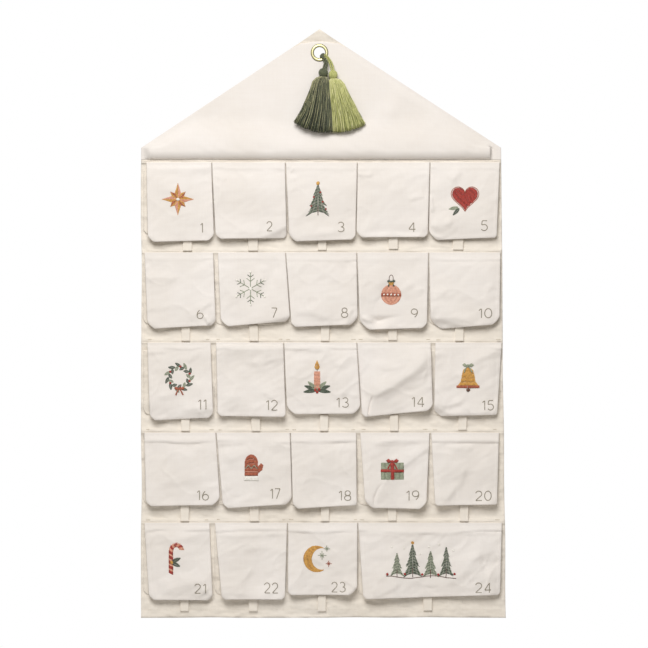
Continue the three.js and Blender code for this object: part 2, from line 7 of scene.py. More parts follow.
import bpy
import numpy as np
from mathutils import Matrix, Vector

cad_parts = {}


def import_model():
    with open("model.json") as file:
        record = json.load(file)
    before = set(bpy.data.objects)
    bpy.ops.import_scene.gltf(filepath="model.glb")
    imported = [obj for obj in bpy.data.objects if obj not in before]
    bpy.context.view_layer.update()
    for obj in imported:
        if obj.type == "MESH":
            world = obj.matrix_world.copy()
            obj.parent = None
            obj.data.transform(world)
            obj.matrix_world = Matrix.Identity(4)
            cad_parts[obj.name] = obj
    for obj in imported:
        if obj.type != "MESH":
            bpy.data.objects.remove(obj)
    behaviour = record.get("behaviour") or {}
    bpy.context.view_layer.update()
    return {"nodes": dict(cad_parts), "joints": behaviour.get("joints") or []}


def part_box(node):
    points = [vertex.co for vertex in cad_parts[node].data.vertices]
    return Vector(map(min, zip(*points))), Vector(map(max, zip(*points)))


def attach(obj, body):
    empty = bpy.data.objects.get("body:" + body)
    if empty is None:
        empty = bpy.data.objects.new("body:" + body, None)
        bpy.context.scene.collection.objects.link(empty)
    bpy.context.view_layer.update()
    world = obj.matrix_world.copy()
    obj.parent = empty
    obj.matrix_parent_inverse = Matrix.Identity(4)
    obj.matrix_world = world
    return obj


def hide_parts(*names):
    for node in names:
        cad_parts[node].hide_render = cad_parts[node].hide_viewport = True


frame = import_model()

MM = 0.001
JOINTS = {joint["name"]: joint for joint in frame["joints"]}

# The photograph's frame: 648 pixels across, with the eyelet's centre as the model's origin
PIXEL = 600 / 360 * MM
EYELET_PX = (319.5, 52.9)
FRAME_PX = 648
CAMERA_AWAY = 7.0


def across(px):
    """A photograph column as a distance right of the eyelet."""
    return (px - EYELET_PX[0]) * PIXEL


def height(py):
    """A photograph row as a height over the eyelet."""
    return (EYELET_PX[1] - py) * PIXEL


def shown(name, data):
    made = bpy.data.objects.new(name, data)
    bpy.context.scene.collection.objects.link(made)
    return made


def camera():
    data = bpy.data.cameras.new("camera")
    data.sensor_width = 36
    data.lens = data.sensor_width * CAMERA_AWAY / (FRAME_PX * PIXEL)
    data.clip_end = 50
    eye = shown("camera", data)
    eye.location = (across(FRAME_PX / 2), -CAMERA_AWAY, height(FRAME_PX / 2))
    eye.rotation_euler = (math.pi / 2, 0, 0)
    bpy.context.scene.camera = eye


camera()


# Numbers for cloth

def lerp(a, b, t):
    return a + (b - a) * t


def smooth(x, low, high):
    t = np.clip((x - low) / (high - low), 0, 1)
    return t * t * (3 - 2 * t)


def between(x, low, high):
    """A smooth step from 0 to 1, with its limits in millimetres."""
    return smooth(x, low * MM, high * MM)


def within(x, left, right):
    """How far a place lies inside two edges."""
    return np.minimum(x - left, right - x)


def lattice(ix, iz, seed):
    h = (ix.astype(np.int64) * 374761393 + iz.astype(np.int64) * 668265263 + seed * 974711) & 0xFFFFFFFF
    h = ((h ^ (h >> 13)) * 1274126177) & 0xFFFFFFFF
    return ((h ^ (h >> 16)) & 0xFFFF) / 0x7FFF - 1


def noise(x, z, size, seed):
    """Smooth values from -1 to 1 over the plane, about one swell in each size."""
    xs, zs = np.asarray(x / size + 500), np.asarray(z / size + 500)
    ix, iz = np.floor(xs), np.floor(zs)
    fx, fz = smooth(xs - ix, 0, 1), smooth(zs - iz, 0, 1)
    top = lerp(lattice(ix, iz, seed), lattice(ix + 1, iz, seed), fx)
    foot = lerp(lattice(ix, iz + 1, seed), lattice(ix + 1, iz + 1, seed), fx)
    return lerp(top, foot, fz)


def wander(x, size, seed):
    """The same along a line, with its size in millimetres."""
    return noise(x, x * 0, size * MM, seed)


def creases(x, z, size, seed):
    """Narrow ridges that wander over the plane, from 0 to 1."""
    bent = x + size * 0.4 * noise(x, z, size * 1.3, seed + 7)
    return (1 - np.abs(noise(bent, z, size, seed))) ** 5


def rumple(x, z, seed, swell, ripple, crease):
    """Soft wrinkles of washed canvas, as a height in metres."""
    turned_x, turned_z = 0.8 * x + 0.6 * z, 0.8 * z - 0.6 * x
    low = noise(x, z, 46 * MM, seed) * swell + noise(turned_x, turned_z, 23 * MM, seed + 1) * swell * 0.4
    fine = noise(turned_x, z, 9 * MM, seed + 2) * ripple
    ridge = creases(turned_x, turned_z, 38 * MM, seed + 3) * crease
    return (low + fine + ridge) * MM


def from_line(px, py, x0, y0, x1, y1):
    """Shares along a line in the photograph, and pixels to the right of the way along it."""
    run = math.hypot(x1 - x0, y1 - y0)
    tx, ty = (x1 - x0) / run, (y1 - y0) / run
    return ((px - x0) * tx + (py - y0) * ty) / run, (py - y0) * tx - (px - x0) * ty


def fold(px, py, x0, y0, x1, y1, bow, rise, steep, gentle):
    """A bowed ridge between two places, steeper to the right of the way along it."""
    along, off = from_line(px, py, x0, y0, x1, y1)
    inner = np.clip(along, 0, 1)
    off = off - bow * 4 * inner * (1 - inner)
    half = np.where(off > 0, steep, gentle) * MM
    ends = smooth(along, -0.15, 0.2) * smooth(along, 1.15, 0.8)
    return rise * FOLD_RISE * MM * ends * np.exp(-np.abs(off * PIXEL / half) ** 1.6)


def bend(px, py, x0, y0, x1, y1, slope, inside):
    """How far the cloth beyond a line falls back, away from a place inside."""
    _, off = from_line(px, py, x0, y0, x1, y1)
    side = -math.copysign(1, from_line(*inside, x0, y0, x1, y1)[1])
    beyond = np.logaddexp(0, off * side / 0.6) * 0.6 * PIXEL
    deepest = 10 * MM
    return deepest * (1 - np.exp(-slope * beyond / deepest))


def corner_inset(radius, above, power):
    """How far a rounded corner draws an edge in, at a height above the foot."""
    t = np.clip(radius - above, 0, radius) / radius
    return radius * (1 - (1 - t ** power) ** (1 / power))


def ease(count):
    """Shares from 0 to 1 that lie closer together at both ends."""
    t = np.linspace(0, 1, count)
    return t - 0.55 * np.sin(2 * math.pi * t) / (2 * math.pi)


def run_of(points):
    """The length along a line of points, at each of them."""
    return np.concatenate([[0], np.cumsum(np.linalg.norm(np.diff(points, axis=0), axis=1))])


def sampled(points, places, at):
    """Points of x and z along a line of them, whose own points stand at the places."""
    return np.stack([np.interp(at, places, points[:, i]) for i in (0, 1)], axis=1)


# Meshes

def mesh_object(name, points, faces, material):
    mesh = bpy.data.meshes.new(name)
    mesh.from_pydata(np.asarray(points, float).tolist(), [], faces)
    mesh.validate()
    mesh.shade_smooth()
    mesh.materials.append(material)
    return shown(name, mesh)


def unit(vectors):
    return vectors / np.maximum(np.linalg.norm(vectors, axis=-1, keepdims=True), 1e-12)


def closed_cloth(name, middle, offset, material, keep=None):
    """A closed piece between the points a half thickness before and behind a middle grid."""
    rows, columns = middle.shape[:2]
    size = rows * columns
    corner = np.arange(size).reshape(rows, columns)[:-1, :-1].reshape(-1, 1)
    front = corner + [0, columns, columns + 1, 1]
    if keep is not None:
        front = front[keep.reshape(-1)[front].all(axis=1)]
    sides = np.concatenate([front[:, [k, (k + 1) % 4]] for k in range(4)])
    keys = set(map(tuple, sides.tolist()))
    rim = [(b, a, a + size, b + size) for a, b in keys if (b, a) not in keys]
    faces = np.concatenate([front, front[:, ::-1] + size, rim])
    used, places = np.unique(faces, return_inverse=True)
    points = np.concatenate([(middle + offset).reshape(-1, 3), (middle - offset).reshape(-1, 3)])[used]
    return mesh_object(name, points, places.reshape(-1, 4).tolist(), material)


def cloth_mesh(name, middle, thickness, material):
    """Cloth of a thickness at each place, square to its own face."""
    normals = unit(np.cross(np.gradient(middle, axis=0), np.gradient(middle, axis=1)))
    return closed_cloth(name, middle, normals * thickness[..., None] / 2, material)


def flat_cloth(name, middle, thickness, material, keep):
    """Cloth that lies nearly flat, so its thickness runs straight back."""
    down, along = [np.minimum(np.arange(n), np.arange(n)[::-1]) for n in middle.shape[:2]]
    near = np.minimum(down[:, None], along[None, :])
    thin = np.where(near == 0, 0.45, np.where(near == 1, 0.85, 1.0))
    offset = np.zeros_like(middle)
    offset[..., 1] = -thickness * thin / 2
    return closed_cloth(name, middle, offset, material, keep)


def rim_thickness(edge, full, radius):
    """Cloth whose rim is rounded off within a radius of its edge."""
    t = np.clip(edge / radius, 0, 1)
    return full * np.sqrt(np.maximum(1 - (1 - t) ** 2, 0.04))


def ring_faces(rings, sides, start=0, closed=False):
    """Quads between rings of points, which follow each other from a first point."""
    return [(start + r * sides + k, start + r * sides + (k + 1) % sides,
             start + (r + 1) % rings * sides + (k + 1) % sides, start + (r + 1) % rings * sides + k)
            for r in range(rings if closed else rings - 1) for k in range(sides)]


def swept(name, paths, radii, material, sides):
    """Round strands along lists of points, in one mesh."""
    points, faces = [], []
    angle = np.arange(sides)[:, None] * 2 * math.pi / sides
    for path, radius in zip(paths, radii):
        tangent = unit(np.gradient(path, axis=0))
        side = unit(np.cross(tangent[0], [0.0, 0.3, 1.0]))
        start, last = len(points) * sides, (len(points) + len(path) - 1) * sides
        for p, t, r in zip(path, tangent, np.broadcast_to(radius, (len(path),))):
            side = unit(side - t * side.dot(t))
            points.append(p + r * (np.cos(angle) * side + np.sin(angle) * np.cross(t, side)))
        faces += ring_faces(len(path), sides, start)
        faces += [tuple(range(start, start + sides))[::-1], tuple(range(last, last + sides))]
    return mesh_object(name, np.concatenate(points), faces, material)


def turned(name, profile, material, sides=96):
    """A closed ring profile of radius and y, turned about the Y axis."""
    angles = [2 * math.pi * k / sides for k in range(sides)]
    points = [(radius * math.cos(a), y, radius * math.sin(a)) for radius, y in profile for a in angles]
    return mesh_object(name, points, ring_faces(len(profile), sides, closed=True), material)


# Materials

def tone(rgb):
    """A colour read off a screen, from 0 to 255, as the shader's own value."""
    values = [v / 255 for v in rgb]
    return tuple(v / 12.92 if v <= 0.04045 else ((v + 0.055) / 1.055) ** 2.4 for v in values) + (1,)


def wired(tree, kind, inputs, **settings):
    """A new shader node, with a value or a link at each input."""
    made = tree.nodes.new(f"ShaderNode{kind}")
    for key, value in settings.items():
        setattr(made, key, value)
    for key, value in inputs.items():
        if isinstance(value, bpy.types.NodeSocket):
            tree.links.new(value, made.inputs[key])
        else:
            made.inputs[key].default_value = value
    return made


class Shader:
    """A small builder for node materials."""

    def __init__(self, name, roughness, metallic=0.0, sheen=0.0):
        self.material = bpy.data.materials.new(name)
        self.material.use_nodes = True
        self.tree = self.material.node_tree
        self.surface = self.tree.nodes["Principled BSDF"].inputs
        for key, value in (("Roughness", roughness), ("Metallic", metallic), ("Sheen Weight", sheen)):
            self.surface[key].default_value = value
        self.place = self.node("TexCoord", {}).outputs["Object"]

    def node(self, kind, inputs, **settings):
        return wired(self.tree, kind, inputs, **settings)

    def noise(self, scale, detail, stretch=(1, 1, 1)):
        place = self.node("Mapping", {"Vector": self.place, "Scale": stretch}).outputs["Vector"]
        return self.node("TexNoise", {"Vector": place, "Scale": scale, "Detail": detail}).outputs["Fac"]

    def wave(self, pitch, axis):
        """Rounded threads that follow each other along one axis, from 0 to 1."""
        value = self.node("SeparateXYZ", {"Vector": self.place}).outputs[axis]
        for operation, more in (("MULTIPLY", {1: math.pi / pitch}), ("SINE", {}), ("ABSOLUTE", {})):
            value = self.node("Math", {0: value, **more}, operation=operation).outputs[0]
        return value

    def ramp(self, value, low, high, at=(0.35, 0.65)):
        made = self.node("ValToRGB", {"Fac": value})
        for element, place, rgb in zip(made.color_ramp.elements, at, (low, high)):
            element.position, element.color = place, tone(rgb)
        return made.outputs["Color"]

    def mixed(self, a, b, factor):
        inputs = {"Factor": factor, "A": a, "B": b}
        return self.node("Mix", inputs, data_type="RGBA", blend_type="MULTIPLY").outputs["Result"]

    def dressed(self, colour, *layers):
        """The material with its colour, and heights on top of each other: value, strength, depth."""
        self.tree.links.new(colour, self.surface["Base Color"])
        below = {}
        for value, strength, depth in layers:
            made = self.node("Bump", {"Height": value, "Strength": strength, "Distance": depth, **below})
            below = {"Normal": made.outputs["Normal"]}
        for normal in below.values():
            self.tree.links.new(normal, self.surface["Normal"])
        return self.material


WHITE = (255, 255, 255)


def canvas(name, light, dark, yarn=0.75 * MM, pucker=0.0):
    """Plain-woven cotton: puckers, two sets of yarn, slubs along both, and slow changes of tone."""
    made = Shader(name, 0.92, sheen=0.1)
    colour = made.ramp(made.noise(9, 4), dark, light, (0.3, 0.7))
    for stretch in ((1, 1, 0.06), (0.06, 1, 1)):
        slubs = made.ramp(made.noise(420, 2, stretch), (252, 251, 250), WHITE)
        colour = made.mixed(colour, slubs, 0.4)
    return made.dressed(
        colour,
        (made.noise(34, 2, (0.7, 1, 1.2)), pucker, 8 * MM),
        (made.noise(60, 4), 0.2, 0.4 * MM),
        (made.wave(yarn, "X"), 0.08, 0.08 * MM),
        (made.wave(yarn * 1.15, "Z"), 0.08, 0.08 * MM),
        (made.noise(700, 2, (1, 1, 0.15)), 0.1, 0.08 * MM))


def thread(name, light, dark, shine=0.3, stretch=(1, 1, 1), scale=350):
    """Spun thread: fine fibres, a soft sheen and a little change of tone."""
    made = Shader(name, 0.6, sheen=shine)
    made.surface["Sheen Roughness"].default_value = 0.4
    colour = made.ramp(made.noise(scale, 3, stretch), dark, light, (0.32, 0.68))
    return made.dressed(colour, (made.noise(2400, 2, (1, 1, 0.5)), 0.35, 0.08 * MM))


def brass(name):
    """Pale brass, with painted shade on its rims where the surface turns away from the eye."""
    made = Shader(name, 0.3, metallic=1.0)
    painted_rim_shade = made.node("LayerWeight", {"Blend": 0.5}).outputs["Facing"]
    # Painted shade: pale brass where the surface faces the eye, olive towards the rims as it turns away
    colour = made.ramp(painted_rim_shade, (216, 210, 166), (104, 98, 52), (0.012, 0.075))
    spots = made.ramp(made.noise(90, 5), (236, 232, 214), WHITE)
    return made.dressed(made.mixed(colour, spots, 0.6), (made.noise(260, 5), 0.1, 0.1 * MM))


def wood(name):
    made = Shader(name, 0.6)
    colour = made.ramp(made.noise(60, 6, (0.05, 1, 1)), (178, 142, 100), (216, 184, 142))
    return made.dressed(colour, (made.noise(300, 4, (0.04, 1, 1)), 0.3, 0.15 * MM))


CANVAS = canvas("canvas", (245, 239, 234), (240, 233, 226))
LINING = canvas("lining", (245, 237, 226), (240, 231, 218), pucker=0.9)
TAPE = canvas("tape", (245, 237, 226), (239, 230, 217), 0.9 * MM)
SEWING = thread("sewing_thread", (240, 231, 219), (226, 216, 202), 0.1)
TACK = thread("tack_thread", (228, 217, 200), (204, 192, 173), 0.1)
NUMBER = thread("number_thread", (166, 157, 138), (134, 124, 106))
BRASS = brass("pale_brass")
WOOD = wood("sanded_wood")
FLOSS_TONES = {
    "fir": ((92, 102, 84), (58, 68, 54)), "sage": ((168, 174, 150), (138, 146, 122)),
    "red": ((178, 60, 46), (140, 38, 30)), "rust": ((184, 104, 74), (150, 76, 52)),
    "salmon": ((230, 172, 146), (210, 144, 118)), "amber": ((222, 172, 88), (192, 136, 60)),
    "brown": ((112, 80, 64), (80, 52, 42)), "cream": ((252, 249, 242), (242, 237, 226)),
}
FLOSS = {name: thread(f"{name}_thread", *tones) for name, tones in FLOSS_TONES.items()}
# Three copies of each tassel's thread colour: threads; shine, a lighter copy that is painted highlight; and
# deep, a near-black copy that is painted shade in the gaps between threads
SKIRT_TONES = {
    "dark": {"threads": ((106, 110, 78), (44, 52, 34), 0.3),
             "shine": ((200, 194, 150), (120, 118, 80), 0.4),
             "deep": ((58, 62, 40), (26, 32, 20), 0.1)},
    "light": {"threads": ((210, 210, 138), (150, 154, 84), 0.3),
              "shine": ((238, 234, 180), (196, 196, 126), 0.4),
              "deep": ((142, 146, 76), (98, 106, 50), 0.1)},
}
SKIRTS = {name: {kind: thread(f"{name}_green_{kind.rstrip('s')}", *tones, (1, 1, 0.05), 1100)
                 for kind, tones in kinds.items()} for name, kinds in SKIRT_TONES.items()}


def add(piece, body, slot, *nodes):
    """A finished piece rides on its body, and the parts it stands for are hidden. The slot is not used."""
    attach(piece, body)
    if nodes:
        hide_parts(*nodes)
    return piece


def sewn(piece, *nodes):
    """A finished piece of the hanging's own cloth."""
    return add(piece, "hanging", "canvas", *nodes)


# Stitches

def with_normal(at, x, z):
    """Places on a surface, and the way out of it at each."""
    step = 0.4 * MM
    p = at(x, z)
    n = unit(np.cross(at(x + step, z) - p, at(x, z + step) - p))
    return p, np.where(n[..., 1:2] > 0, -n, n)


def facing(front):
    """A surface for stitches, from a front's depth at each place."""
    def at(x, z):
        return np.stack([x, front(x, z), z], axis=-1)
    return lambda x, z: with_normal(at, x, z)


class Stitches:
    """Short raised stitches on a surface: each runs from one place to another on it."""

    RINGS = 4
    SECTION = ((-1, 0.0), (-0.6, 0.8), (0.6, 0.8), (1, 0.0))

    def __init__(self, surface):
        self.surface, self.rows = surface, []

    def add(self, start, end, width, rise, lift=0.0):
        self.rows.append((*start, *end, width, rise, lift))

    def build(self, name, material):
        rows = np.array(self.rows)
        start, end, width, rise, high = rows[:, :2], rows[:, 2:4], rows[:, 4], rows[:, 5], rows[:, 6]
        t = np.linspace(0, 1, self.RINGS)
        place = start[:, None] + (end - start)[:, None] * t[None, :, None]
        base, normal = self.surface(place[..., 0], place[..., 1])
        side = unit(np.cross(np.gradient(base, axis=1), normal))
        swell = np.sqrt(np.sin(np.pi * (0.1 + 0.8 * t)))[None, :]
        rings = []
        for out, up in self.SECTION:
            lift = 0.02 * MM + high[:, None] + rise[:, None] * swell * (up * 0.6 + 0.3)
            shift = out * width[:, None] / 2 * swell
            rings.append(base + side * shift[..., None] + normal * lift[..., None])
        sides = len(self.SECTION)
        last = (self.RINGS - 1) * sides
        faces = ring_faces(self.RINGS, sides) + [(3, 2, 1, 0), (last, last + 1, last + 2, last + 3)]
        offsets = np.arange(len(rows))[:, None, None] * (self.RINGS * sides)
        every = (np.array(faces)[None] + offsets).reshape(-1, 4)
        return mesh_object(name, np.stack(rings, axis=2).reshape(-1, 3), every.tolist(), material)


def spaced(points, step):
    """Points at even steps along a line of points."""
    points = np.asarray(points, float)
    lengths = run_of(points)
    count = max(2, int(round(lengths[-1] / step)) + 1)
    return sampled(points, lengths, np.linspace(0, lengths[-1], count))


def running(work, points, length=2.6 * MM, gap=0.8 * MM, width=0.55 * MM, rise=0.3 * MM, lift=0.0):
    """A line of straight stitches, end to end."""
    line = spaced(points, length + gap)
    for a, b in zip(line, line[1:]):
        work.add(a, a + (b - a) * length / (length + gap), width, rise, lift)


def satin(work, points, widths, pitch=0.9 * MM, rise=0.6 * MM, slant=0.5, lift=0.0):
    """A line worked in slanted stitches across it."""
    line = spaced(points, pitch)
    tangent = unit(np.gradient(line, axis=0))
    wide = np.interp(np.linspace(0, 1, len(line)), np.linspace(0, 1, len(widths)), widths)
    for p, t, w in zip(line, tangent, wide):
        reach = np.array([-t[1], t[0]]) * w / 2 + t * slant * w / 2
        work.add(p - reach, p + reach, pitch * 1.15, rise, lift)


# The pockets

PANEL_FRONT = -4.5 * MM
CLOTH = 0.9 * MM
GAP = 0.3 * MM
POCKET_DROP = 121 * MM
POCKET_ROUND = 14 * MM
MOUTH_DROP = 12 * MM
MOUTH_DEPTH = 2.2 * MM
BAG_DEPTH = 6.4 * MM
MARGIN = 5 * MM
SWELL = 13 * MM


class Pocket:
    """A patch pocket, sewn down on three sides, with its mouth standing open."""

    def __init__(self, number):
        self.number, self.name = number, f"pocket_{number:02d}"
        low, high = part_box(self.name)
        self.left, self.right = low.x, high.x
        self.seam = JOINTS[f"flap_{number:02d}_lift"]["pos_m"][2]
        self.length = POCKET_DROP - MOUTH_DROP

    def front(self, x, z):
        down = self.seam - MOUTH_DROP - z
        edge = within(x, self.left, self.right) - MARGIN
        swell = smooth(edge, 0, SWELL) * smooth(self.length - down - MARGIN, 0, SWELL)
        depth = lerp(MOUTH_DEPTH, BAG_DEPTH, smooth(down / self.length, 0, 1))
        bumps = np.minimum(rumple(x, down, 300 + self.number, 0.5, 0.2, 0.3), 0.6 * MM)
        return PANEL_FRONT - GAP - CLOTH - np.maximum((depth + bumps - 0.4 * MM) * swell, 0)


# The flaps

# Each row is read off the photograph in pixels: the left and right edges at the seam, the left and
# right edges at the foot, the foot's height at the left and right, and the two corner radii; then
# how far the left and right corners curl and how the cloth sways, as shares
FLAP_PX = [
    (146.6, 211.4, 148.3, 214.3, 242.0, 240.6, 7, 7, 0.3, 0.2, 0.3),
    (212.2, 285.0, 216.0, 286.6, 238.9, 238.2, 6, 3.5, 0.2, 0.0, 0.4),
    (286.0, 357.0, 289.5, 355.4, 241.4, 239.7, 8, 5, 0.3, 0.3, -0.3),
    (357.8, 429.6, 356.4, 427.4, 237.5, 237.2, 7, 4, 0.5, 0.3, 0.3),
    (430.4, 499.6, 428.5, 496.4, 240.0, 237.7, 10, 2.5, 0.4, 0.5, -0.5),
    (144.7, 213.3, 148.0, 216.0, 328.5, 325.4, 8, 6, 0.4, 0.5, 0.4),
    (217.9, 285.2, 221.3, 290.2, 326.2, 321.4, 8, 6, 0.3, 0.5, 0.6),
    (286.0, 356.4, 291.6, 357.7, 326.8, 324.7, 5, 9, 0.5, 0.3, -0.4),
    (357.2, 428.2, 360.0, 426.7, 329.6, 328.0, 11, 6, 0.5, 0.2, 0.4),
    (429.2, 500.2, 430.5, 499.2, 328.7, 324.7, 12, 9, 0.5, 0.5, -0.3),
    (147.5, 210.8, 150.4, 213.5, 420.0, 417.5, 6, 6, 0.3, 0.4, 0.3),
    (216.2, 283.3, 218.0, 285.8, 415.8, 416.6, 4, 3, 0.6, 0.3, 0.5),
    (284.1, 356.4, 287.4, 360.7, 413.9, 413.5, 9, 9, 0.4, 0.7, -0.6),
    (357.2, 430.6, 362.0, 432.6, 416.6, 410.6, 4, 7, 0.7, 0.6, 0.6),
    (435.2, 501.6, 433.8, 496.8, 415.8, 414.7, 8, 2, 0.4, 0.4, -0.6),
    (144.4, 215.6, 146.5, 220.4, 505.7, 504.7, 6, 9, 0.3, 0.6, 0.5),
    (216.6, 289.9, 223.2, 292.2, 507.7, 504.2, 6, 8, 0.4, 0.6, -0.4),
    (290.8, 356.2, 293.1, 356.7, 508.1, 504.8, 6, 2, 0.4, 0.3, 0.4),
    (360.1, 429.5, 365.4, 426.0, 507.5, 508.5, 9, 8, 0.6, 0.7, 0.4),
    (431.1, 498.9, 434.9, 496.7, 505.2, 504.2, 3, 1.5, 0.3, 0.3, 0.5),
    (144.5, 209.6, 149.6, 212.9, 599.3, 599.7, 6, 6, 0.5, 0.7, -0.4),
    (214.9, 287.2, 222.2, 285.0, 598.9, 598.8, 4, 4, 0.3, 0.4, 0.5),
    (288.1, 357.3, 288.1, 357.0, 594.3, 594.5, 4, 9, 0.3, 0.6, 0.3),
    (358.1, 501.8, 363.3, 499.7, 598.5, 594.4, 4, 3, 0.4, 0.4, 0.4),
]
SEAM_PX = 162.5
ROW_PX = 90
COLUMNS = 5

# Folds: both ends in pixels, the bow in pixels, then the rise and the half widths on the steep side
# (right of the way along it) and the gentle side in millimetres
FOLDS = {
    1: [(150, 172, 210, 170, 0, 0.6, 5, 8)],
    2: [(214, 176, 226, 180, 0, 0.6, 4, 8), (222, 232, 262, 231, 1, 0.7, 7, 12)],
    3: [(291, 172, 294.5, 168, 0, 0.9, 1.5, 2.5), (300, 236, 345, 229, 2, 0.7, 6, 12)],
    4: [(358, 174, 372, 175, 1, 0.8, 3, 7), (372, 231, 412, 232, 0, -1.0, 7, 10),
        (410, 200, 424, 196, 0, 0.6, 3, 6)],
    5: [(431, 226, 452, 222, 1.5, 1.4, 8, 12), (451, 181, 461, 171, 0, 0.9, 5, 9),
        (433, 212, 430, 196, 0, 0.9, 3, 5)],
    6: [(146, 277, 178, 277, 1, 0.9, 8, 10), (205, 316, 209, 324, 0, 0.9, 2, 4),
        (195, 320, 212, 300, -2, 0.7, 5, 12)],
    7: [(252, 305, 276, 262, 3, -2.0, 13, 14)],
    8: [(346, 322, 352, 308, 0, 0.8, 4, 7), (292, 312, 330, 318, -2, 0.9, 7, 12)],
    9: [(374, 326, 392, 286, 3, -4.0, 12, 12), (392, 294, 412, 282, 2, 0.9, 9, 14),
        (362, 318, 372, 322, 0, 0.8, 2, 4)],
    10: [(436, 318, 472, 322, -2, 1.1, 5, 12), (431, 300, 446, 292, 0, 0.7, 5, 9)],
    11: [(146, 352, 166, 352, 0, 1.0, 4, 8), (182, 409, 212, 403, 2, 1.3, 9, 14),
         (158, 396, 184, 390, 1, 0.7, 6, 12)],
    12: [(216, 347, 288, 346, -1, 3.0, 17, 4), (244, 362, 284, 356, 2, 1.2, 8, 14),
         (264, 392, 280, 402, 0, 0.7, 4, 9)],
    13: [(336, 366, 352, 350, 2, 1.1, 9, 14), (291, 349, 330, 349, 0, 1.2, 5, 7),
         (340, 392, 358, 396, 0, 0.7, 5, 9)],
    14: [(372, 395, 428, 356, 4, 4.0, 11, 24), (382, 369, 406, 364, 1, 0.9, 4, 9),
         (372.7, 396, 368.2, 417, 1, -1.9, 1.1, 1.5)],
    15: [(470, 364, 501, 349, -1, 1.6, 8, 12), (440, 406, 462, 401, 1, 1.0, 4, 9),
         (444, 414, 494, 411, 0, 0.8, 5, 8)],
    16: [(146, 440, 212, 440, 0, 0.7, 4, 7), (160, 482, 200, 474, 3, 0.6, 8, 16)],
    17: [(218, 443, 246, 441, 1, 0.9, 4, 8), (268, 447, 290, 440, 0, 1.1, 7, 9),
         (226, 458, 250, 452, 0, 0.8, 8, 12)],
    18: [(294, 441, 354, 440, 0, 0.9, 4, 7), (320, 456, 334, 450, 2, 0.9, 10, 12)],
    19: [(398, 468, 428, 446, 1, 1.5, 5, 14), (381, 484, 373.5, 505, 2, -0.9, 1.4, 3),
         (372, 442, 424, 440, 2, 1.0, 4, 8), (384, 478, 398, 468, 0, 0.8, 9, 9)],
    20: [(442, 502, 465, 465, 3, 1.5, 7, 20), (434, 441, 496, 440, -1, 0.9, 5, 7),
         (448, 447, 472, 447, 1, 0.8, 6, 6)],
    21: [(163, 590, 202, 577, 2, 1.6, 11, 15), (159, 541, 209, 531, 1, 1.0, 6, 12),
         (196, 596, 208, 588, 1, 0.9, 3, 7)],
    22: [(218, 535, 286, 533, 1, 0.8, 4, 8), (242, 549, 272, 547, 0, 0.6, 4, 9),
         (232, 592, 272, 592, 2, 0.9, 5, 10)],
    23: [(290, 531, 340, 531, 0, 0.9, 4, 8), (344, 579, 356.5, 588, 0, 0.9, 3, 9),
         (298, 556, 340, 552, 2, 0.9, 9, 14)],
    24: [(450, 580, 484, 544, 3, 1.8, 12, 18), (482, 568, 500, 562, 0, -1.4, 9, 14),
         (362, 533, 500, 533, 0, 0.9, 4, 7), (376, 595, 398, 584, 1, 1.0, 5, 10),
         (470, 560, 488, 552, 0, 0.8, 5, 9)],
}

# Places with close creases: centre and reach in pixels, and how far they rise in mm
CRUMPLES = {
    2: (279, 234, 8, 1.1), 5: (438, 231, 9, 0.9), 6: (207, 319, 8, 1.1), 8: (350, 321, 9, 1.1),
    9: (366, 320, 8, 0.9), 10: (439, 320, 10, 1.2), 11: (212, 409, 7, 1.1), 12: (270, 352, 12, 0.8),
    15: (440, 410, 10, 1.1), 19: (367, 502, 7, 0.8), 20: (441, 501, 7, 0.8), 21: (206, 594, 7, 0.8),
    23: (350, 586, 8, 0.8), 24: (488, 560, 9, 0.9),
}

# Corners that fall back: the line they bend along, in pixels, and the slope beyond it
BENDS = {
    2: (257.5, 240, 287.5, 226.5, 1.1), 3: (288, 229, 297.5, 242.5, 0.7), 5: (427, 234.5, 441, 239.5, 0.9),
    6: (204, 327.5, 218, 314, 0.8), 7: (254, 325, 291, 316.2, 1.2), 8: (343, 328, 359, 315, 0.7),
    9: (358.5, 312, 375.5, 330, 0.6), 10: (430, 317.5, 474, 328, 0.9), 11: (180, 415.5, 216, 408, 0.5),
    13: (351, 415.5, 363, 405, 0.6), 14: (372.7, 396, 368.2, 417, 0.35), 15: (431, 404.5, 453, 415.5, 1.0),
    17: (280, 505, 293, 494.5, 0.7), 18: (346, 506, 358, 502, 0.6), 19: (363.5, 496, 373, 508.5, 0.6),
    21: (206, 600.5, 214, 591, 0.8), 23: (346, 595.5, 358, 587, 0.8),
}

FLAP_THICK = 1.6 * MM
SHOULDER = 5.7 * MM  # how far the cloth steps out below its seam
SHOULDER_RUN = 30 * MM
LEAN = 1.0 * MM  # how much further out the foot hangs
CURL = 2.8 * MM
SWAY = 1.0 * MM
TUCK = (1.5 * MM, 1.5 * MM, 0.6 * MM)  # how far the left, right and lower edges turn back
TUCK_RUN = 12 * MM
OUTER_TUCK = 1.9  # how much more the right edge of the last column tucks in
LAST_COLUMN = (5, 10, 15, 20, 24)
RUMPLED = (1.0, 1.1, 1.5, 1.3, 1.5)  # how wrinkled each row of flaps is
SEAM_DROP = (11 * MM, 12 * MM, 9 * MM, 15 * MM, 14 * MM)  # to the roll of cloth under each row's seam
SEAM_RISE = (0.6 * MM, 0.8 * MM, 1.4 * MM, 1.6 * MM, 1.7 * MM)
FOLD_RISE = 2.3  # times the rises in the table of folds
CORNER = 1.45  # the power of a corner's round
CLEAR = 0.4 * MM  # from a flap's back to its pocket


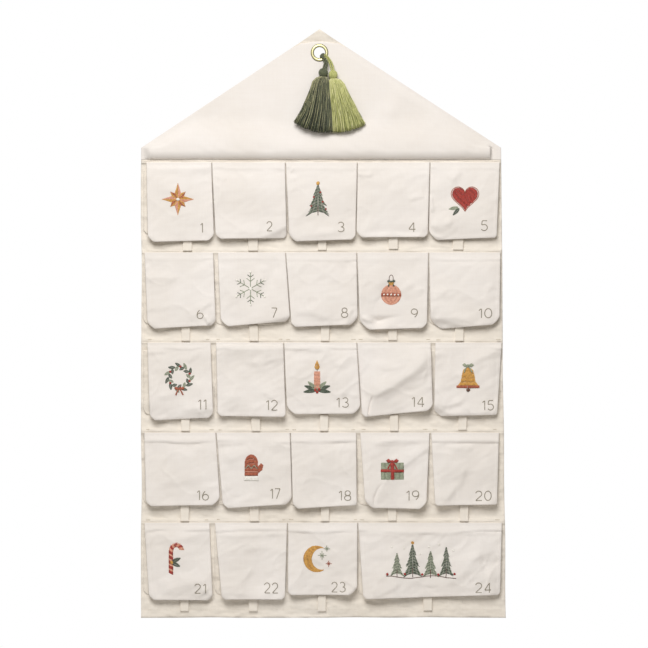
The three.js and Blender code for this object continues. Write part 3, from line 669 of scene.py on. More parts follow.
class Flap:
    """One cover flap's shape: shares across and down give points of its middle surface."""

    def __init__(self, number):
        self.number, self.name, self.row = number, f"flap_{number:02d}", (number - 1) // COLUMNS
        (left_top, right_top, left_foot, right_foot, left_drop, right_drop, left_round, right_round,
         self.left_curl, self.right_curl, self.wave) = FLAP_PX[number - 1]
        self.body = f"{self.name}_body"
        _, self.hinge_y, self.hinge_z = JOINTS[f"{self.name}_lift"]["pos_m"]
        seam = SEAM_PX + ROW_PX * self.row
        self.left = (across(left_top), across(left_foot))
        self.right = (across(right_top), across(right_foot))
        self.drop = ((left_drop - seam) * PIXEL, (right_drop - seam) * PIXEL)
        self.round = (left_round * PIXEL, right_round * PIXEL)
        self.centre_px = ((left_top + right_top + left_foot + right_foot) / 4, seam + 38)
        self.seed = 100 + 11 * number
        self.pocket = Pocket(number)

    def sides(self, u, v):
        """The left and right edges at a height, and the height itself under the hinge."""
        length = lerp(*self.drop, u)
        above = (1 - np.clip(v, 0, 1)) * length
        left = lerp(*self.left, v) + corner_inset(self.round[0], above, CORNER)
        return left, lerp(*self.right, v) - corner_inset(self.round[1], above, CORNER), v * length, above

    def surface(self, u, v):
        left, right, down, above = self.sides(u, v)
        x = lerp(left, right, u)
        out = self.out(u, v, down, x, (x - left, right - x, above))
        behind = self.hinge_y - self.pocket.front(x, self.hinge_z - down) + FLAP_THICK / 2 + CLEAR
        behind = lerp(-0.2 * MM, behind, smooth(down, 4 * MM, MOUTH_DROP - 1 * MM))
        out = behind + CLEAR * np.logaddexp(0, (out - behind) / CLEAR)
        return np.stack([x, self.hinge_y - out, self.hinge_z - down], axis=-1)

    def out(self, u, v, down, x, edges_by):
        """How far the cloth stands out from its hinge line."""
        px, py = x / PIXEL + EYELET_PX[0], EYELET_PX[1] - (self.hinge_z - down) / PIXEL
        shoulder = SHOULDER * (1 - np.exp(-np.maximum(down / SHOULDER_RUN, 0) ** 1.3))
        outer = OUTER_TUCK if self.number in LAST_COLUMN else 1
        tuck = sum(depth * wide * np.clip(1 - edge / (TUCK_RUN * wide), 0, 1) ** 2
                   for depth, edge, wide in zip(TUCK, edges_by, (1, outer, 1)))
        curl = self.left_curl * smooth(1 - u, 0.6, 1) + self.right_curl * smooth(u, 0.6, 1)
        sway = (self.wave + 1) * np.sin(math.pi * (2 * u + self.wave)) + self.wave + 1
        folds = sum((fold(px, py, *row) for row in FOLDS[self.number]), 0 * u)
        out = shoulder + LEAN * v + CURL * curl * smooth(v, 0.6, 1) + SWAY * sway * v
        out = out + self.seam_roll(x, down) + self.wrinkles(x, down, px, py)
        out = out + folds * between(down, 3, 11) - tuck * between(down, 4, 40)
        if self.number in BENDS:
            out = out - bend(px, py, *BENDS[self.number], self.centre_px)
        return out

    def seam_roll(self, x, down):
        """The roll of cloth under the seam, with its small puckers."""
        below = down - SEAM_DROP[self.row] - 2.6 * MM * wander(x, 44, self.seed + 4)
        step = between(below, 0, 1.8)
        under = 1 - step - 0.5 * step * np.exp(-below / (9 * MM))
        roll = np.where(below < 0, np.exp(-(below / (6 * MM)) ** 2), under) * SEAM_RISE[self.row]
        roll = roll * np.clip(0.65 + 0.8 * wander(x, 30, self.seed + 5), 0.1, 1.3)
        pucker = 0.3 * MM * noise(x, down, 5 * MM, self.seed + 6) * np.exp(-down / (10 * MM))
        return roll * between(down, 3, 9) + pucker * between(down, 2, 6)

    def wrinkles(self, x, down, px, py):
        found = rumple(x, down, self.seed, 2.0, 0.4, 0.75) * between(down, 2, 24) * RUMPLED[self.row]
        if self.number in CRUMPLES:
            cx, cy, reach, rise = CRUMPLES[self.number]
            near = np.exp(-((px - cx) ** 2 + (py - cy) ** 2) / reach ** 2)
            found = found + near * rise * MM * noise(px, py, 4.5, self.seed + 8)
        return found

    def seen_at(self, x, z):
        """The point of the middle surface that is seen from the front at a place."""
        u = np.full(np.shape(x), 0.5)
        for _ in range(4):
            v = (self.hinge_z - z) / lerp(*self.drop, u)
            left, right, _, _ = self.sides(u, v)
            u = (x - left) / (right - left)
        return self.surface(u, v)

    def front(self, x, z):
        """Places on the front face and the way out of it, for thread work."""
        p, n = with_normal(self.seen_at, x, z)
        return p + n * FLAP_THICK / 2, n

    def build(self):
        u = ease(80 if self.number < 24 else 150)
        bow = np.linspace(0, math.pi / 2, 12)
        ends = 0.12
        v = np.concatenate([ends * (1 - np.cos(bow)), np.linspace(ends, 1 - ends, 52)[1:-1],
                            1 - ends + ends * np.sin(bow)])
        uu, vv = np.meshgrid(u, v)
        width, length = self.right[0] - self.left[0], sum(self.drop) / 2
        edge = np.minimum(within(uu, 0, 1) * width, within(vv, 0, 1) * length)
        hem = FLAP_THICK + 0.9 * MM * between(edge, 7, 4) * smooth(vv, 0, 0.3)
        thick = rim_thickness(edge, hem, 0.9 * MM)
        piece = cloth_mesh(f"{self.name}_cloth", self.surface(uu, vv), thick, CANVAS)
        add(piece, self.body, "canvas", self.name)


FLAPS = [Flap(number) for number in range(1, 25)]
for flap in FLAPS:
    flap.build()


# Numerals: strokes in a cell that is 0.62 wide and 1 high

def arc(cx, cy, rx, ry, start, end, count=14):
    angle = np.radians(np.linspace(start, end, count))
    return np.stack([cx + rx * np.cos(angle), cy + ry * np.sin(angle)], axis=1)


def joined(*parts):
    return np.concatenate([np.asarray(p, float).reshape(-1, 2) for p in parts])


DIGITS = {
    "0": arc(0.31, 0.5, 0.3, 0.5, 90, 450, 28),
    "1": joined((0.14, 0.78), (0.36, 1.0), (0.36, 0.0)),
    "2": joined(arc(0.31, 0.7, 0.29, 0.3, 165, -35), (0.02, 0.0), (0.62, 0.0)),
    "3": joined(arc(0.3, 0.745, 0.26, 0.255, 150, -90), arc(0.3, 0.26, 0.3, 0.26, 90, -150)),
    "4": joined((0.48, 0.0), (0.48, 1.0), (0.02, 0.28), (0.64, 0.28)),
    "5": joined((0.56, 1.0), (0.12, 1.0), (0.07, 0.56), arc(0.3, 0.32, 0.3, 0.31, 120, -150)),
    "6": joined(arc(0.62, 0.36, 0.6, 0.66, 125, 180, 8), arc(0.31, 0.31, 0.29, 0.3, 180, 540, 24)),
    "7": joined((0.03, 1.0), (0.6, 1.0), (0.2, 0.0)),
    "8": joined(arc(0.31, 0.755, 0.24, 0.245, 270, -90, 22), arc(0.31, 0.26, 0.3, 0.26, 90, 450, 24)),
    "9": joined(arc(0.0, 0.64, 0.6, 0.66, -55, 0, 8), arc(0.31, 0.69, 0.29, 0.3, 0, 360, 24)),
}

# Where each numeral stands in the photograph: its left and right edges and its top and foot
NUMBER_PX = [
    (200.2, 203.7, 222.6, 233.2), (266.2, 272.8, 221.2, 231.6), (337.0, 344.8, 221.8, 232.5),
    (407.8, 415.7, 222.0, 232.6), (480.0, 487.8, 220.4, 231.4), (196.6, 204.3, 308.7, 319.3),
    (271.0, 277.9, 307.5, 318.2), (340.6, 348.5, 307.4, 318.0), (410.3, 418.1, 308.3, 318.6),
    (477.5, 492.0, 308.0, 318.4), (197.8, 207.2, 398.8, 409.8), (265.6, 278.0, 399.4, 410.4),
    (335.8, 349.1, 396.9, 407.7), (410.9, 424.2, 396.3, 407.2), (481.2, 493.9, 399.8, 410.6),
    (196.6, 209.6, 489.4, 500.4), (269.8, 281.0, 487.8, 498.8), (338.2, 351.5, 489.8, 500.7),
    (405.5, 419.4, 489.8, 500.7), (474.5, 491.5, 490.2, 500.8), (194.3, 206.7, 582.6, 593.0),
    (263.9, 278.6, 581.8, 592.9), (330.9, 346.0, 581.1, 592.0), (474.5, 490.9, 581.6, 592.5),
]
STROKE = 1.75 * MM
DIGIT_WIDE = 0.62  # in cell heights, and 0.3 for a 1
DIGIT_GAP = 0.22


def numeral(flap):
    """The flap's number in back stitch."""
    left, right, top, foot = NUMBER_PX[flap.number - 1]
    text = str(flap.number)
    widths = [0.3 if digit == "1" else DIGIT_WIDE for digit in text]
    low, tall = height(foot) + STROKE / 2, (foot - top) * PIXEL - STROKE
    scale = ((right - left) * PIXEL - STROKE) / (sum(widths) + (len(text) - 1) * DIGIT_GAP)
    work = Stitches(flap.front)
    x = across(left) + STROKE / 2
    for digit, width in zip(text, widths):
        line = DIGITS[digit] - [0.1 if digit == "1" else 0, 0]
        running(work, line * [scale, tall] + [x, low], 1.9 * MM, 0.15 * MM, STROKE, 0.8 * MM)
        x += (width + DIGIT_GAP) * scale
    add(work.build(f"numeral_{flap.number:02d}", NUMBER), flap.body, "embroidery")


for flap in FLAPS:
    numeral(flap)


# Motifs, drawn in millimetres about their own centres

def circle(cx, cy, radius):
    return arc(cx, cy, radius, radius, 0, 345, 24)


def block(half, top, foot):
    return [(-half, top), (half, top), (half, foot), (-half, foot)]


def way(turn):
    """A direction, in degrees."""
    return np.array([math.cos(math.radians(turn)), math.sin(math.radians(turn))])


class Motif:
    """Embroidery in several threads on one flap."""

    PITCH = 0.85
    LONGEST = 7.0

    def __init__(self, number, right, down):
        self.flap = FLAPS[number - 1]
        px, py = self.flap.centre_px
        self.centre = np.array([across(px + right), height(py + down)])
        self.works, self.draw = {}, random.Random(number)

    def work(self, colour):
        return self.works.setdefault(colour, Stitches(self.flap.front))

    def at(self, points):
        return np.asarray(points, float) * MM + self.centre

    def fill(self, colour, outline, turn=0.0, lift=0.0):
        """Rows of long stitches that fill an outline, side by side."""
        c, s = way(turn)
        outline = np.asarray(outline, float)
        a, b = outline @ [c, s], outline @ [-s, c]
        work = self.work(colour)
        for row, level in enumerate(np.arange(b.min() + self.PITCH / 2, b.max(), self.PITCH)):
            cuts = []
            for i in range(len(a)):
                j = (i + 1) % len(a)
                if (b[i] > level) != (b[j] > level):
                    cuts.append(lerp(a[i], a[j], (level - b[i]) / (b[j] - b[i])))
            cuts.sort()
            for low, high in zip(cuts[::2], cuts[1::2]):
                low, high = low + self.draw.uniform(-0.2, 0.2), high + self.draw.uniform(-0.2, 0.2)
                parts = max(1, round((high - low) / self.LONGEST + (0.35 if row % 2 else -0.15)))
                ends = [low] + [lerp(low, high, (k + self.draw.uniform(-0.15, 0.15)) / parts)
                                for k in range(1, parts)] + [high]
                tips = self.at([(end * c - level * s, end * s + level * c) for end in ends])
                for start, end in zip(tips, tips[1:]):
                    work.add(start, end, 1.25 * MM, 0.65 * MM, lift * MM)

    def stem(self, colour, points, width=1.3, lift=0.0):
        """Stitches along a line that overlap at their ends."""
        running(self.work(colour), self.at(points), 3.2 * MM, -0.5 * MM, width * MM, 0.8 * MM, lift * MM)

    def band(self, colour, points, *widths, lift=0.0):
        satin(self.work(colour), self.at(points), [w * MM for w in widths], lift=lift * MM)

    def leaf(self, colour, base, tip, width):
        """Stitches that meet along a midrib, like a fish's bones."""
        base, tip = np.asarray(base, float), np.asarray(tip, float)
        run = tip - base
        across_it = np.array([-run[1], run[0]]) / np.hypot(*run)
        steps = max(5, int(np.hypot(*run) / 1.15))
        for k in range(steps + 1):
            t = k / steps
            half = width / 2 * math.sin(math.pi * min(t * 0.86 + 0.1, 1)) ** 0.8
            for side in (-1, 1):
                edge = base + run * t + across_it * half * side
                rib = base + run * max(t - 0.16, 0)
                self.work(colour).add(*self.at([rib, edge]), 1.15 * MM, 0.6 * MM)

    def knots(self, colour, *places, radius=2.4, lift=0.4):
        for x, y in places:
            self.fill(colour, circle(x, y, radius), self.draw.uniform(0, 180), lift)

    def build(self):
        for colour, work in self.works.items():
            piece = work.build(f"motif_{self.flap.number:02d}_{colour}", FLOSS[colour])
            add(piece, self.flap.body, "embroidery")


def mirror(points):
    """An outline from its right half, listed from top to bottom."""
    points = np.asarray(points, float)
    return joined(points, points[::-1] * [-1, 1])


def bow_of(motif, colour, x, y, size=1.0):
    for side in (-1, 1):
        loop = [(x, y), (x + side * 5 * size, y + 3.4 * size), (x + side * 8 * size, y + 1 * size),
                (x + side * 5 * size, y - 2.2 * size)]
        motif.fill(colour, loop, 90, 0.5)
        tail = [(x, y), (x + side * 3 * size, y - 4 * size), (x + side * 5.5 * size, y - 9 * size)]
        motif.band(colour, tail, 1.8, 2.6, lift=0.4)
    motif.knots(colour, (x, y), radius=1.7 * size, lift=0.9)


def star(motif):
    for k in range(8):
        turn = 90 + 45 * k
        along = way(turn)
        beside = np.array([-along[1], along[0]])
        far, wide = (27, 5.6) if k % 2 == 0 else (18, 4.6)
        for side, colour in ((1, "amber"), (-1, "rust" if k % 2 else "salmon")):
            half = [(0, 0), along * 9 + beside * wide * side, along * far]
            motif.fill(colour, half, turn + side * 14)
    motif.knots("cream", (0, 0), radius=2.6, lift=0.8)


def tree(motif, x, foot, tall, wide, colour, shade):
    """Drooping boughs on both sides of a trunk, in three tiers."""
    rows = int(tall * 0.9)
    for k in range(rows):
        t = (k + 0.5) / rows
        tier = t * 3 % 1
        reach = wide / 2 * (0.12 + 0.88 * t) * (0.62 + 0.38 * tier)
        y = foot + tall * (1 - t)
        for side in (-1, 1):
            tip = (x + side * reach * motif.draw.uniform(0.9, 1.05), y - 0.42 * reach)
            knee = (x + side * reach * 0.5, y - 0.14 * reach)
            work = motif.work(shade if (k + (side > 0)) % 4 == 0 else colour)
            for ends in ([(x, y), knee], [knee, tip]):
                work.add(*motif.at(ends), 1.1 * MM, 0.6 * MM)
    motif.stem("brown", [(x, foot + tall * 0.2), (x, foot - 6)], 1.5, 0.2)


def fir_tree(motif):
    tree(motif, 0, -22, 44, 42, "fir", "sage")
    motif.knots("amber", (0, 25), radius=3)
    motif.knots("red", (-7, 2), (8, -6), (-11, -13), (4, 10), (13, -18), radius=1.6)


def heart(motif):
    t = np.linspace(0, 2 * math.pi, 44)[:-1]
    lobes = 13 * np.cos(t) - 5 * np.cos(2 * t) - 2 * np.cos(3 * t) - np.cos(4 * t)
    line = np.stack([16 * np.sin(t) ** 3, lobes], axis=1)
    motif.fill("red", line * 1.35, 35)
    motif.stem("rust", joined(line * 1.45, line[:1] * 1.45), 1.4)
    motif.leaf("sage", (-12, -17), (-27, -20), 6)
    motif.leaf("fir", (-10, -19), (-20, -30), 6)


def snowflake(motif):
    for k in range(6):
        arm = way(90 + 60 * k)
        motif.stem("sage", [arm * 2, arm * 26], 1.5)
        for share, size, colour in ((0.45, 8, "sage"), (0.72, 6, "fir")):
            for side in (-1, 1):
                fork = arm * 26 * share
                motif.stem(colour, [fork, fork + way(90 + 60 * k + side * 52) * size], 1.3)
        motif.knots("cream", arm * 27.5, radius=1.8)
    motif.knots("cream", (0, 0), radius=3)


def bauble(motif):
    ball = circle(0, -7, 17)
    motif.fill("salmon", ball, 0)
    motif.fill("rust", block(16.8, -4, -10), 90, 0.6)
    motif.knots("cream", *[(x, -7) for x in (-12, -6, 0, 6, 12)], radius=1.5, lift=1.2)
    motif.fill("amber", block(4.5, 14.5, 9), 0, 0.4)
    motif.stem("brown", arc(0, 20, 3.4, 6, -90, 270, 16), 1.2)
    bow_of(motif, "fir", 0, 15, 0.9)


def wreath(motif):
    for k in range(22):
        turn = 360 / 22 * k
        base, tip = way(turn) * 18, way(turn + 24) * (25 if k % 2 else 12.5)
        motif.leaf("fir" if k % 3 else "sage", base + [0, 2], tip + [0, 2], 5.4)
    motif.knots("red", *arc(0, 2, 18, 18, 20, 340, 6), radius=1.9)
    bow_of(motif, "rust", 0, -17, 1.1)


def candle(motif):
    motif.fill("salmon", block(5, 12, -18), 90)
    motif.stem("brown", [(0, 12), (0, 16)], 1.2)
    motif.fill("amber", mirror([(0, 31), (3.2, 24), (4.2, 19), (2.6, 15)]), 90)
    for turn, colour in ((158, "fir"), (132, "sage"), (22, "fir"), (48, "sage"), (190, "fir"), (-10, "fir")):
        motif.leaf(colour, (0, -19), (0, -19) + way(turn) * [23, 19], 7)
    motif.knots("red", (-3, -19), (3.4, -18), (0, -22.5), radius=2.3, lift=0.8)


def bell(motif):
    body = mirror([(3, 17), (8, 13), (10.5, 4), (12, -6), (18, -14)])
    motif.fill("amber", body, 90)
    motif.fill("rust", block(19, -13, -17.5), 90, 0.4)
    motif.knots("brown", (0, -20.5), radius=3.2)
    bow_of(motif, "sage", 0, 20, 1.2)


def mitten(motif):
    hand = joined((-11, -12), (11, -12), (11, 8), arc(0, 10, 11, 14, 0, 180, 12), (-11, -12))
    motif.fill("rust", hand, 90)
    motif.fill("rust", joined((11, -8), (18, -2), (20, 6), (16.5, 9.5), (11, 4)), 60)
    motif.fill("cream", block(12, -12, -20), 90, 0.3)
    motif.stem("sage", [(-10, 0), (-5, 6), (0, 0), (5, 6), (10, 0)], 1.5, 0.7)
    motif.stem("salmon", [(-10, -5), (10, -5)], 1.5, 0.7)


def parcel(motif):
    motif.fill("sage", block(19, 10, -18), 0)
    motif.fill("red", block(3, 10, -18), 0, 0.7)
    motif.fill("red", block(19, -1, -6), 90, 0.7)
    bow_of(motif, "red", 0, 12, 1.35)


def cane(motif):
    path = joined((-8, -26), (-8, 10), arc(1, 11, 9, 11, 180, 15, 12))
    line = spaced(path, 4.2)
    for k, (a, b) in enumerate(zip(line, line[1:])):
        motif.band("salmon" if k % 2 else "red", [a, b], 7.5)
    motif.leaf("fir", (-6, -6), (8, 0), 7)
    motif.leaf("fir", (-6, -8), (7, -14), 7)
    motif.knots("amber", (-7, -7), radius=2.6, lift=0.9)


def moon(motif):
    outer, inner = arc(0, 0, 22, 22, 52, 308, 26), arc(9, 0, 17, 18, 285, 75, 22)
    motif.fill("amber", joined(outer, inner), 20)
    for x, y, size, colour in ((9, 6, 7, "sage"), (20, -8, 5, "rust"), (17, 17, 5, "sage")):
        for k in range(4):
            reach = way(45 * k) * size * (1 if k % 2 == 0 else 0.6)
            motif.stem(colour, [(x, y) - reach, (x, y) + reach], 1.2, 0.2 * k)


def forest(motif):
    motif.stem("brown", [(x, -30 + 2 * math.sin(x / 12)) for x in range(-58, 59, 4)], 1.4)
    for fir in ((-40, -24, 34, 24, "sage", "fir"), (-14, -24, 48, 34, "fir", "sage"),
                (16, -25, 38, 28, "sage", "fir"), (42, -24, 44, 26, "fir", "sage")):
        tree(motif, *fir)
    motif.knots("amber", (-14, 27), radius=2.6)
    motif.knots("cream", (-28, 18), (-48, 20), (30, 24), (14, 20), (54, 14), (-2, 8), radius=1.7)
    motif.knots("red", (-56, -25), (-27, -25), (2, -26), (29, -26), (56, -25), radius=2)


for number, draw, right, down in (
        (1, star, -2, -1), (3, fir_tree, -4, -2), (5, heart, 1, -3), (7, snowflake, -3, -2),
        (9, bauble, -2, 0), (11, wreath, -1, -2), (13, candle, -5, -2), (15, bell, 1, -3),
        (17, mitten, -4, -2), (19, parcel, -3, -2), (21, cane, -3, -3), (23, moon, -6, -2),
        (24, forest, -10, -2)):
    motif = Motif(number, right, down)
    draw(motif)
    motif.build()


# The panel, the header and the pockets

HEADER_FRONT = PANEL_FRONT - GAP - CLOTH
HEM = 15 * MM
APEX = height(29.6)
APEX_FOLD = height(41.6)
EAVES = height(147.9)
FOOT = height(617.4)
EAVES_PX = (141.3, 500.9)
FOOT_PX = (141.6, 505.6)
CHANNEL = (across(151.0), across(490.6))
CHANNEL_DEEP = 10.2 * MM
CHANNEL_ROUND = 17.3 * MM
ROD_Z = EAVES - 10.8 * MM
LIP_Z = ROD_Z - 9.2 * MM
BORE = 10.2 * MM
SEAMS = [FLAPS[row * COLUMNS].hinge_z for row in range(5)]
HALF = (across(EAVES_PX[1]) - across(EAVES_PX[0])) / 2
SLOPE = math.hypot(HALF, APEX - EAVES)


def edges(z):
    """The panel's left and right edges at a height."""
    below = np.clip((EAVES - z) / (EAVES - FOOT), 0, 1)
    roof = np.clip((APEX - z) / (APEX - EAVES), 0.002, 1)
    return [(lerp(across(eaves), across(foot), below)
             + 0.9 * MM * wander(z, 90, seed) * smooth(below, 0, 0.1)) * roof
            for eaves, foot, seed in zip(EAVES_PX, FOOT_PX, (3, 4))]


def roof_distance(x, z):
    """How far a place lies inside the nearer roof slope."""
    return ((APEX - z) * HALF - np.abs(x) * (APEX - EAVES)) / SLOPE


def seam_ridge(x, z):
    """How far the sewn folds that carry the flaps stand out of the panel."""
    out = 0 * z
    for row, seam in enumerate(SEAMS):
        above = z - seam - (2.2 + 0.3 * wander(x, 22, 51 + row)) * MM
        half = np.where(above > 0, 1.3 if row == 0 else 5.0, 1.0) * MM
        base = 1.5 * MM * np.exp(-((z - seam) / (2.4 * MM)) ** 4)
        peak = (1.75 + 0.3 * wander(x, 17, 61 + row)) * MM
        out = np.maximum(out, np.maximum(base, peak * np.exp(-(above / half) ** 2)))
    return out


def panel_front(x, z):
    edge = np.minimum(within(x, *edges(z)), z - FOOT)
    calm = between(roof_distance(x, z), 60, 90) * between(edge, 0, 20)
    strip = sum(between(seam - z, 121, 127) * between(seam - z, 146, 141) for seam in SEAMS)
    margin = np.maximum(strip, between(edge, 13, 8) * (z < EAVES))
    bumps = rumple(x, z, 21, 1.3, 0.6, 1.5) * calm * 0.6
    loose = rumple(0.6 * x, z, 71, 2.0, 2.2, 4.0) - 1.5 * MM
    bumps = lerp(bumps, loose, margin * between(edge, 0, 4))
    bumps = -2.6 * MM * np.tanh(0.3 * np.logaddexp(0, -bumps / (0.3 * MM)) / 2.6)
    lean = 7 * MM * np.clip((z - APEX_FOLD) / (APEX - APEX_FOLD), 0, 1)
    return PANEL_FRONT - bumps - seam_ridge(x, z) - lean


def spread_out(z, columns):
    """A grid over the hanging from its heights: x and z at each place, and the side edges."""
    z = z[:, None]
    left, right = edges(z)
    x = left + (right - left) * ease(columns)[None, :]
    return x, z + 0 * x, left, right


def panel():
    """The canvas sheet, its turned hems behind, and the seam ridges that carry the flaps."""
    close = [seam + np.linspace(-2.4, 7.6, 21) * MM for seam in SEAMS]
    rows = [np.linspace(APEX, EAVES, 80), np.linspace(EAVES, FOOT, 250)] + close
    x, z, left, right = spread_out(np.unique(np.round(np.concatenate(rows), 6))[::-1], 190)
    edge = np.minimum(within(x, left, right), z - FOOT)
    edge = np.minimum(edge, np.maximum(roof_distance(x, z), 0))
    hem = smooth(edge, HEM, HEM - 1.5 * MM)
    back = lerp(1.8 * MM, 3.6 * MM, between(z - EAVES, -2, 2)) * hem
    front = panel_front(x, z)
    plain = front + seam_ridge(x, z)
    rear = np.where(hem > 0.5, PANEL_FRONT, plain) + CLOTH + back
    wavy = 0.8 * MM * wander(x, 60, 9) * between(z - FOOT, 60, 0)
    middle = np.stack([x, (front + rear) / 2, z + wavy], axis=-1)
    piece = flat_cloth("panel_cloth", middle, rear - front, LINING, np.hypot(x, z) > BORE)
    sewn(piece, "back_panel")


def header_front(x, z):
    inside = roof_distance(x, z)
    crest = height(150.2) + 0.5 * MM * wander(x, 40, 31)
    low = height(158.9) + 0.5 * MM * wander(x, 26, 32)
    run = 60 * MM - 25 * MM * np.exp(-(x / (60 * MM)) ** 2)
    above = 0.5 + 0.5 * np.cos(math.pi * np.clip((z - crest) / run, 0, 1))
    drop = np.clip(crest - z, 0, CHANNEL_ROUND)
    under = CHANNEL_DEEP - CHANNEL_ROUND + np.sqrt(CHANNEL_ROUND ** 2 - drop ** 2)
    under = under * between(z - low, -1.2, 0)
    ends = between(x - CHANNEL[0], -16, 2) * between(x - CHANNEL[1], 0.8, -1.2)
    ends = lerp(ends, between(inside, 0, 25), between(z - EAVES, -2, 6))
    bulge = np.where(z > crest, above * CHANNEL_DEEP, under) * ends
    pinch = 0.8 * MM * wander(x + 0.6 * (z - ROD_Z), 13, 33)
    pinch = pinch * np.exp(-((z - ROD_Z - 9 * MM) / (7 * MM)) ** 2)
    from_bore = np.hypot(x, z)
    rolled = 2.6 * MM * between(inside, 0.5, 17) * between(x, 5, 60) * between(x, 290, 160)
    bumps = rumple(x, z, 41, 1.0, 0.25, 0.6) * between(inside, 4, 30) * between(z - EAVES, -8, 25)
    bumps = np.maximum(bumps, -0.2 * MM) * 0.8 + rolled * (1 + 0.4 * noise(x, z, 30 * MM, 35))
    swung_over = np.clip(bumps * 0.35, 0, 0.7 * MM)
    bumps = lerp(bumps, swung_over, between(from_bore, 165, 125)) * between(from_bore, 16, 40)
    return HEADER_FRONT - np.maximum(bulge + pinch * ends + bumps * (1 - 0.8 * above), 0)


def header():
    """The second layer over the gable, with the rod's channel along its lower edge."""
    rows = [np.linspace(APEX_FOLD, EAVES, 80), np.linspace(EAVES, LIP_Z, 34)[1:]]
    x, z, left, right = spread_out(np.concatenate(rows), 210)
    arch = 2.2 * MM * np.clip(x / (20 * MM), -1.2, 1.2) ** 2 * between(z - APEX_FOLD, -14, 0)
    middle = np.stack([x, header_front(x, z) + CLOTH / 2, z - arch], axis=-1)
    piece = flat_cloth("header_cloth", middle, CLOTH + 0 * x, CANVAS, np.hypot(x, z) > BORE)
    sewn(piece, "header_front")


def sewing():
    """Machine stitches under the rod and along the foot, and the tacks over the flaps' corners."""
    lip, hem = LIP_Z + 1.9 * MM, FOOT + HEM - 2 * MM
    left, right = [float(edge) for edge in edges(hem)]
    for name, front, z, ends in (
            ("header", header_front, lip, (CHANNEL[0] + 3 * MM, CHANNEL[1] - 3 * MM)),
            ("hem", panel_front, hem, (left + 5 * MM, right - 5 * MM))):
        work = Stitches(facing(front))
        running(work, [(end, z) for end in ends])
        sewn(work.build(f"{name}_stitches", SEWING))
    tacks = Stitches(facing(panel_front))
    draw = random.Random(3)
    for flap in FLAPS[10:]:
        for x, side in ((flap.left[0], 1), (flap.right[0], -1)):
            start = x + side * draw.uniform(1, 4) * MM
            z = flap.hinge_z + draw.uniform(4.4, 5.4) * MM
            line = [(start, z), (start + side * draw.uniform(4, 7) * MM, z)]
            satin(tacks, line, [1.4 * MM], 0.7 * MM, 0.3 * MM, 0)
    sewn(tacks.build("tack_stitches", TACK))


panel()
header()
sewing()


def pocket(patch):
    """The pocket's cloth and side stitches, with its tape loop."""
    u, v = np.meshgrid(ease(56 if patch.number < 24 else 110), np.linspace(0, 1, 44))
    down = v * patch.length
    inset = corner_inset(POCKET_ROUND, patch.length - down, 2)
    x, z = lerp(patch.left + inset, patch.right - inset, u), patch.seam - MOUTH_DROP - down
    middle = np.stack([x, patch.front(x, z) + CLOTH / 2, z], axis=-1)
    rim = np.minimum(within(x, patch.left, patch.right), within(down, 0, patch.length))
    piece = cloth_mesh(f"{patch.name}_cloth", middle, rim_thickness(rim, CLOTH, 0.8 * MM), LINING)
    sewn(piece, patch.name)
    work = Stitches(facing(patch.front))
    inside, low = 2.4 * MM, patch.seam - POCKET_DROP + POCKET_ROUND
    corner = arc(0, 0, POCKET_ROUND - inside, POCKET_ROUND - inside, 180, 270, 6)
    left = corner + [patch.left + POCKET_ROUND, low]
    right = (corner * [-1, 1])[::-1] + [patch.right - POCKET_ROUND, low]
    top = patch.seam - MOUTH_DROP - 1 * MM
    running(work, joined((patch.left + inside, top), left, right, (patch.right - inside, top)))
    sewn(work.build(f"{patch.name}_stitches", SEWING))
    tape = tape_loop(patch.number, patch.seam)


# The tape loops: left and right edges and lower end in the photograph
LOOP_PX = [
    (183.0, 192.0, 251.8), (248.0, 257.6, 251.0), (318.0, 326.6, 250.4), (388.4, 397.6, 249.4),
    (453.2, 463.4, 250.0), (181.6, 190.0, 341.8), (249.2, 258.0, 341.8), (321.0, 329.4, 341.8),
    (388.0, 396.8, 340.4), (455.2, 463.8, 341.4), (181.4, 189.8, 431.6), (251.2, 260.0, 431.8),
    (320.0, 328.4, 431.0), (389.6, 398.0, 431.0), (458.4, 466.8, 430.0), (180.6, 189.0, 521.2),
    (249.6, 258.6, 521.6), (321.0, 329.2, 521.8), (387.6, 396.2, 520.6), (460.0, 468.4, 521.8),
    (180.4, 188.8, 612.8), (248.6, 257.2, 611.2), (318.0, 326.0, 611.2), (423.2, 431.8, 610.6),
]
TAPE_THICK = 0.9 * MM
LOOP_DEEP = 3.3 * MM
LOOP_LOWEST = 147.7 * MM


def tape_loop(number, seam):
    """A folded tape, its ends caught under the pocket's bottom edge."""
    left, right, foot = LOOP_PX[number - 1]
    left, right, foot = across(left), across(right), max(height(foot), seam - LOOP_LOWEST)
    top = seam - POCKET_DROP + 1 * MM
    reach = (LOOP_DEEP - TAPE_THICK) / 2
    angle = np.linspace(0, math.pi, 14)
    down = np.linspace(top, foot + LOOP_DEEP / 2, 16)
    z = np.concatenate([down, (foot + LOOP_DEEP / 2 - reach * np.sin(angle))[1:-1], down[::-1]])
    mid = 0 * z + (left + right) / 2
    back = PANEL_FRONT - GAP - np.maximum(seam_ridge(mid, z), seam_ridge(mid, z + 2 * MM))
    y = back + np.concatenate([np.full(16, -TAPE_THICK / 2), (-LOOP_DEEP / 2 + reach * np.cos(angle))[1:-1],
                               np.full(16, TAPE_THICK / 2 - LOOP_DEEP)])
    drop = ((top - z) / (top - foot))[:, None]
    u = ease(13)[None, :]
    x = lerp(left, right, u) + (number * 7 % 5 - 2) * 0.35 * MM * drop
    y = y[:, None] + 0.12 * MM * np.cos(math.pi * (2 * u - 1)) * drop
    middle = np.stack([x, y, z[:, None] + 0 * u], axis=-1)
    edge = within(u, 0, 1) * (right - left)
    thick = np.broadcast_to(rim_thickness(edge, TAPE_THICK, 1.0 * MM), x.shape)
    return sewn(cloth_mesh(f"loop_{number:02d}", middle, thick, TAPE))


for flap in FLAPS:
    pocket(flap.pocket)


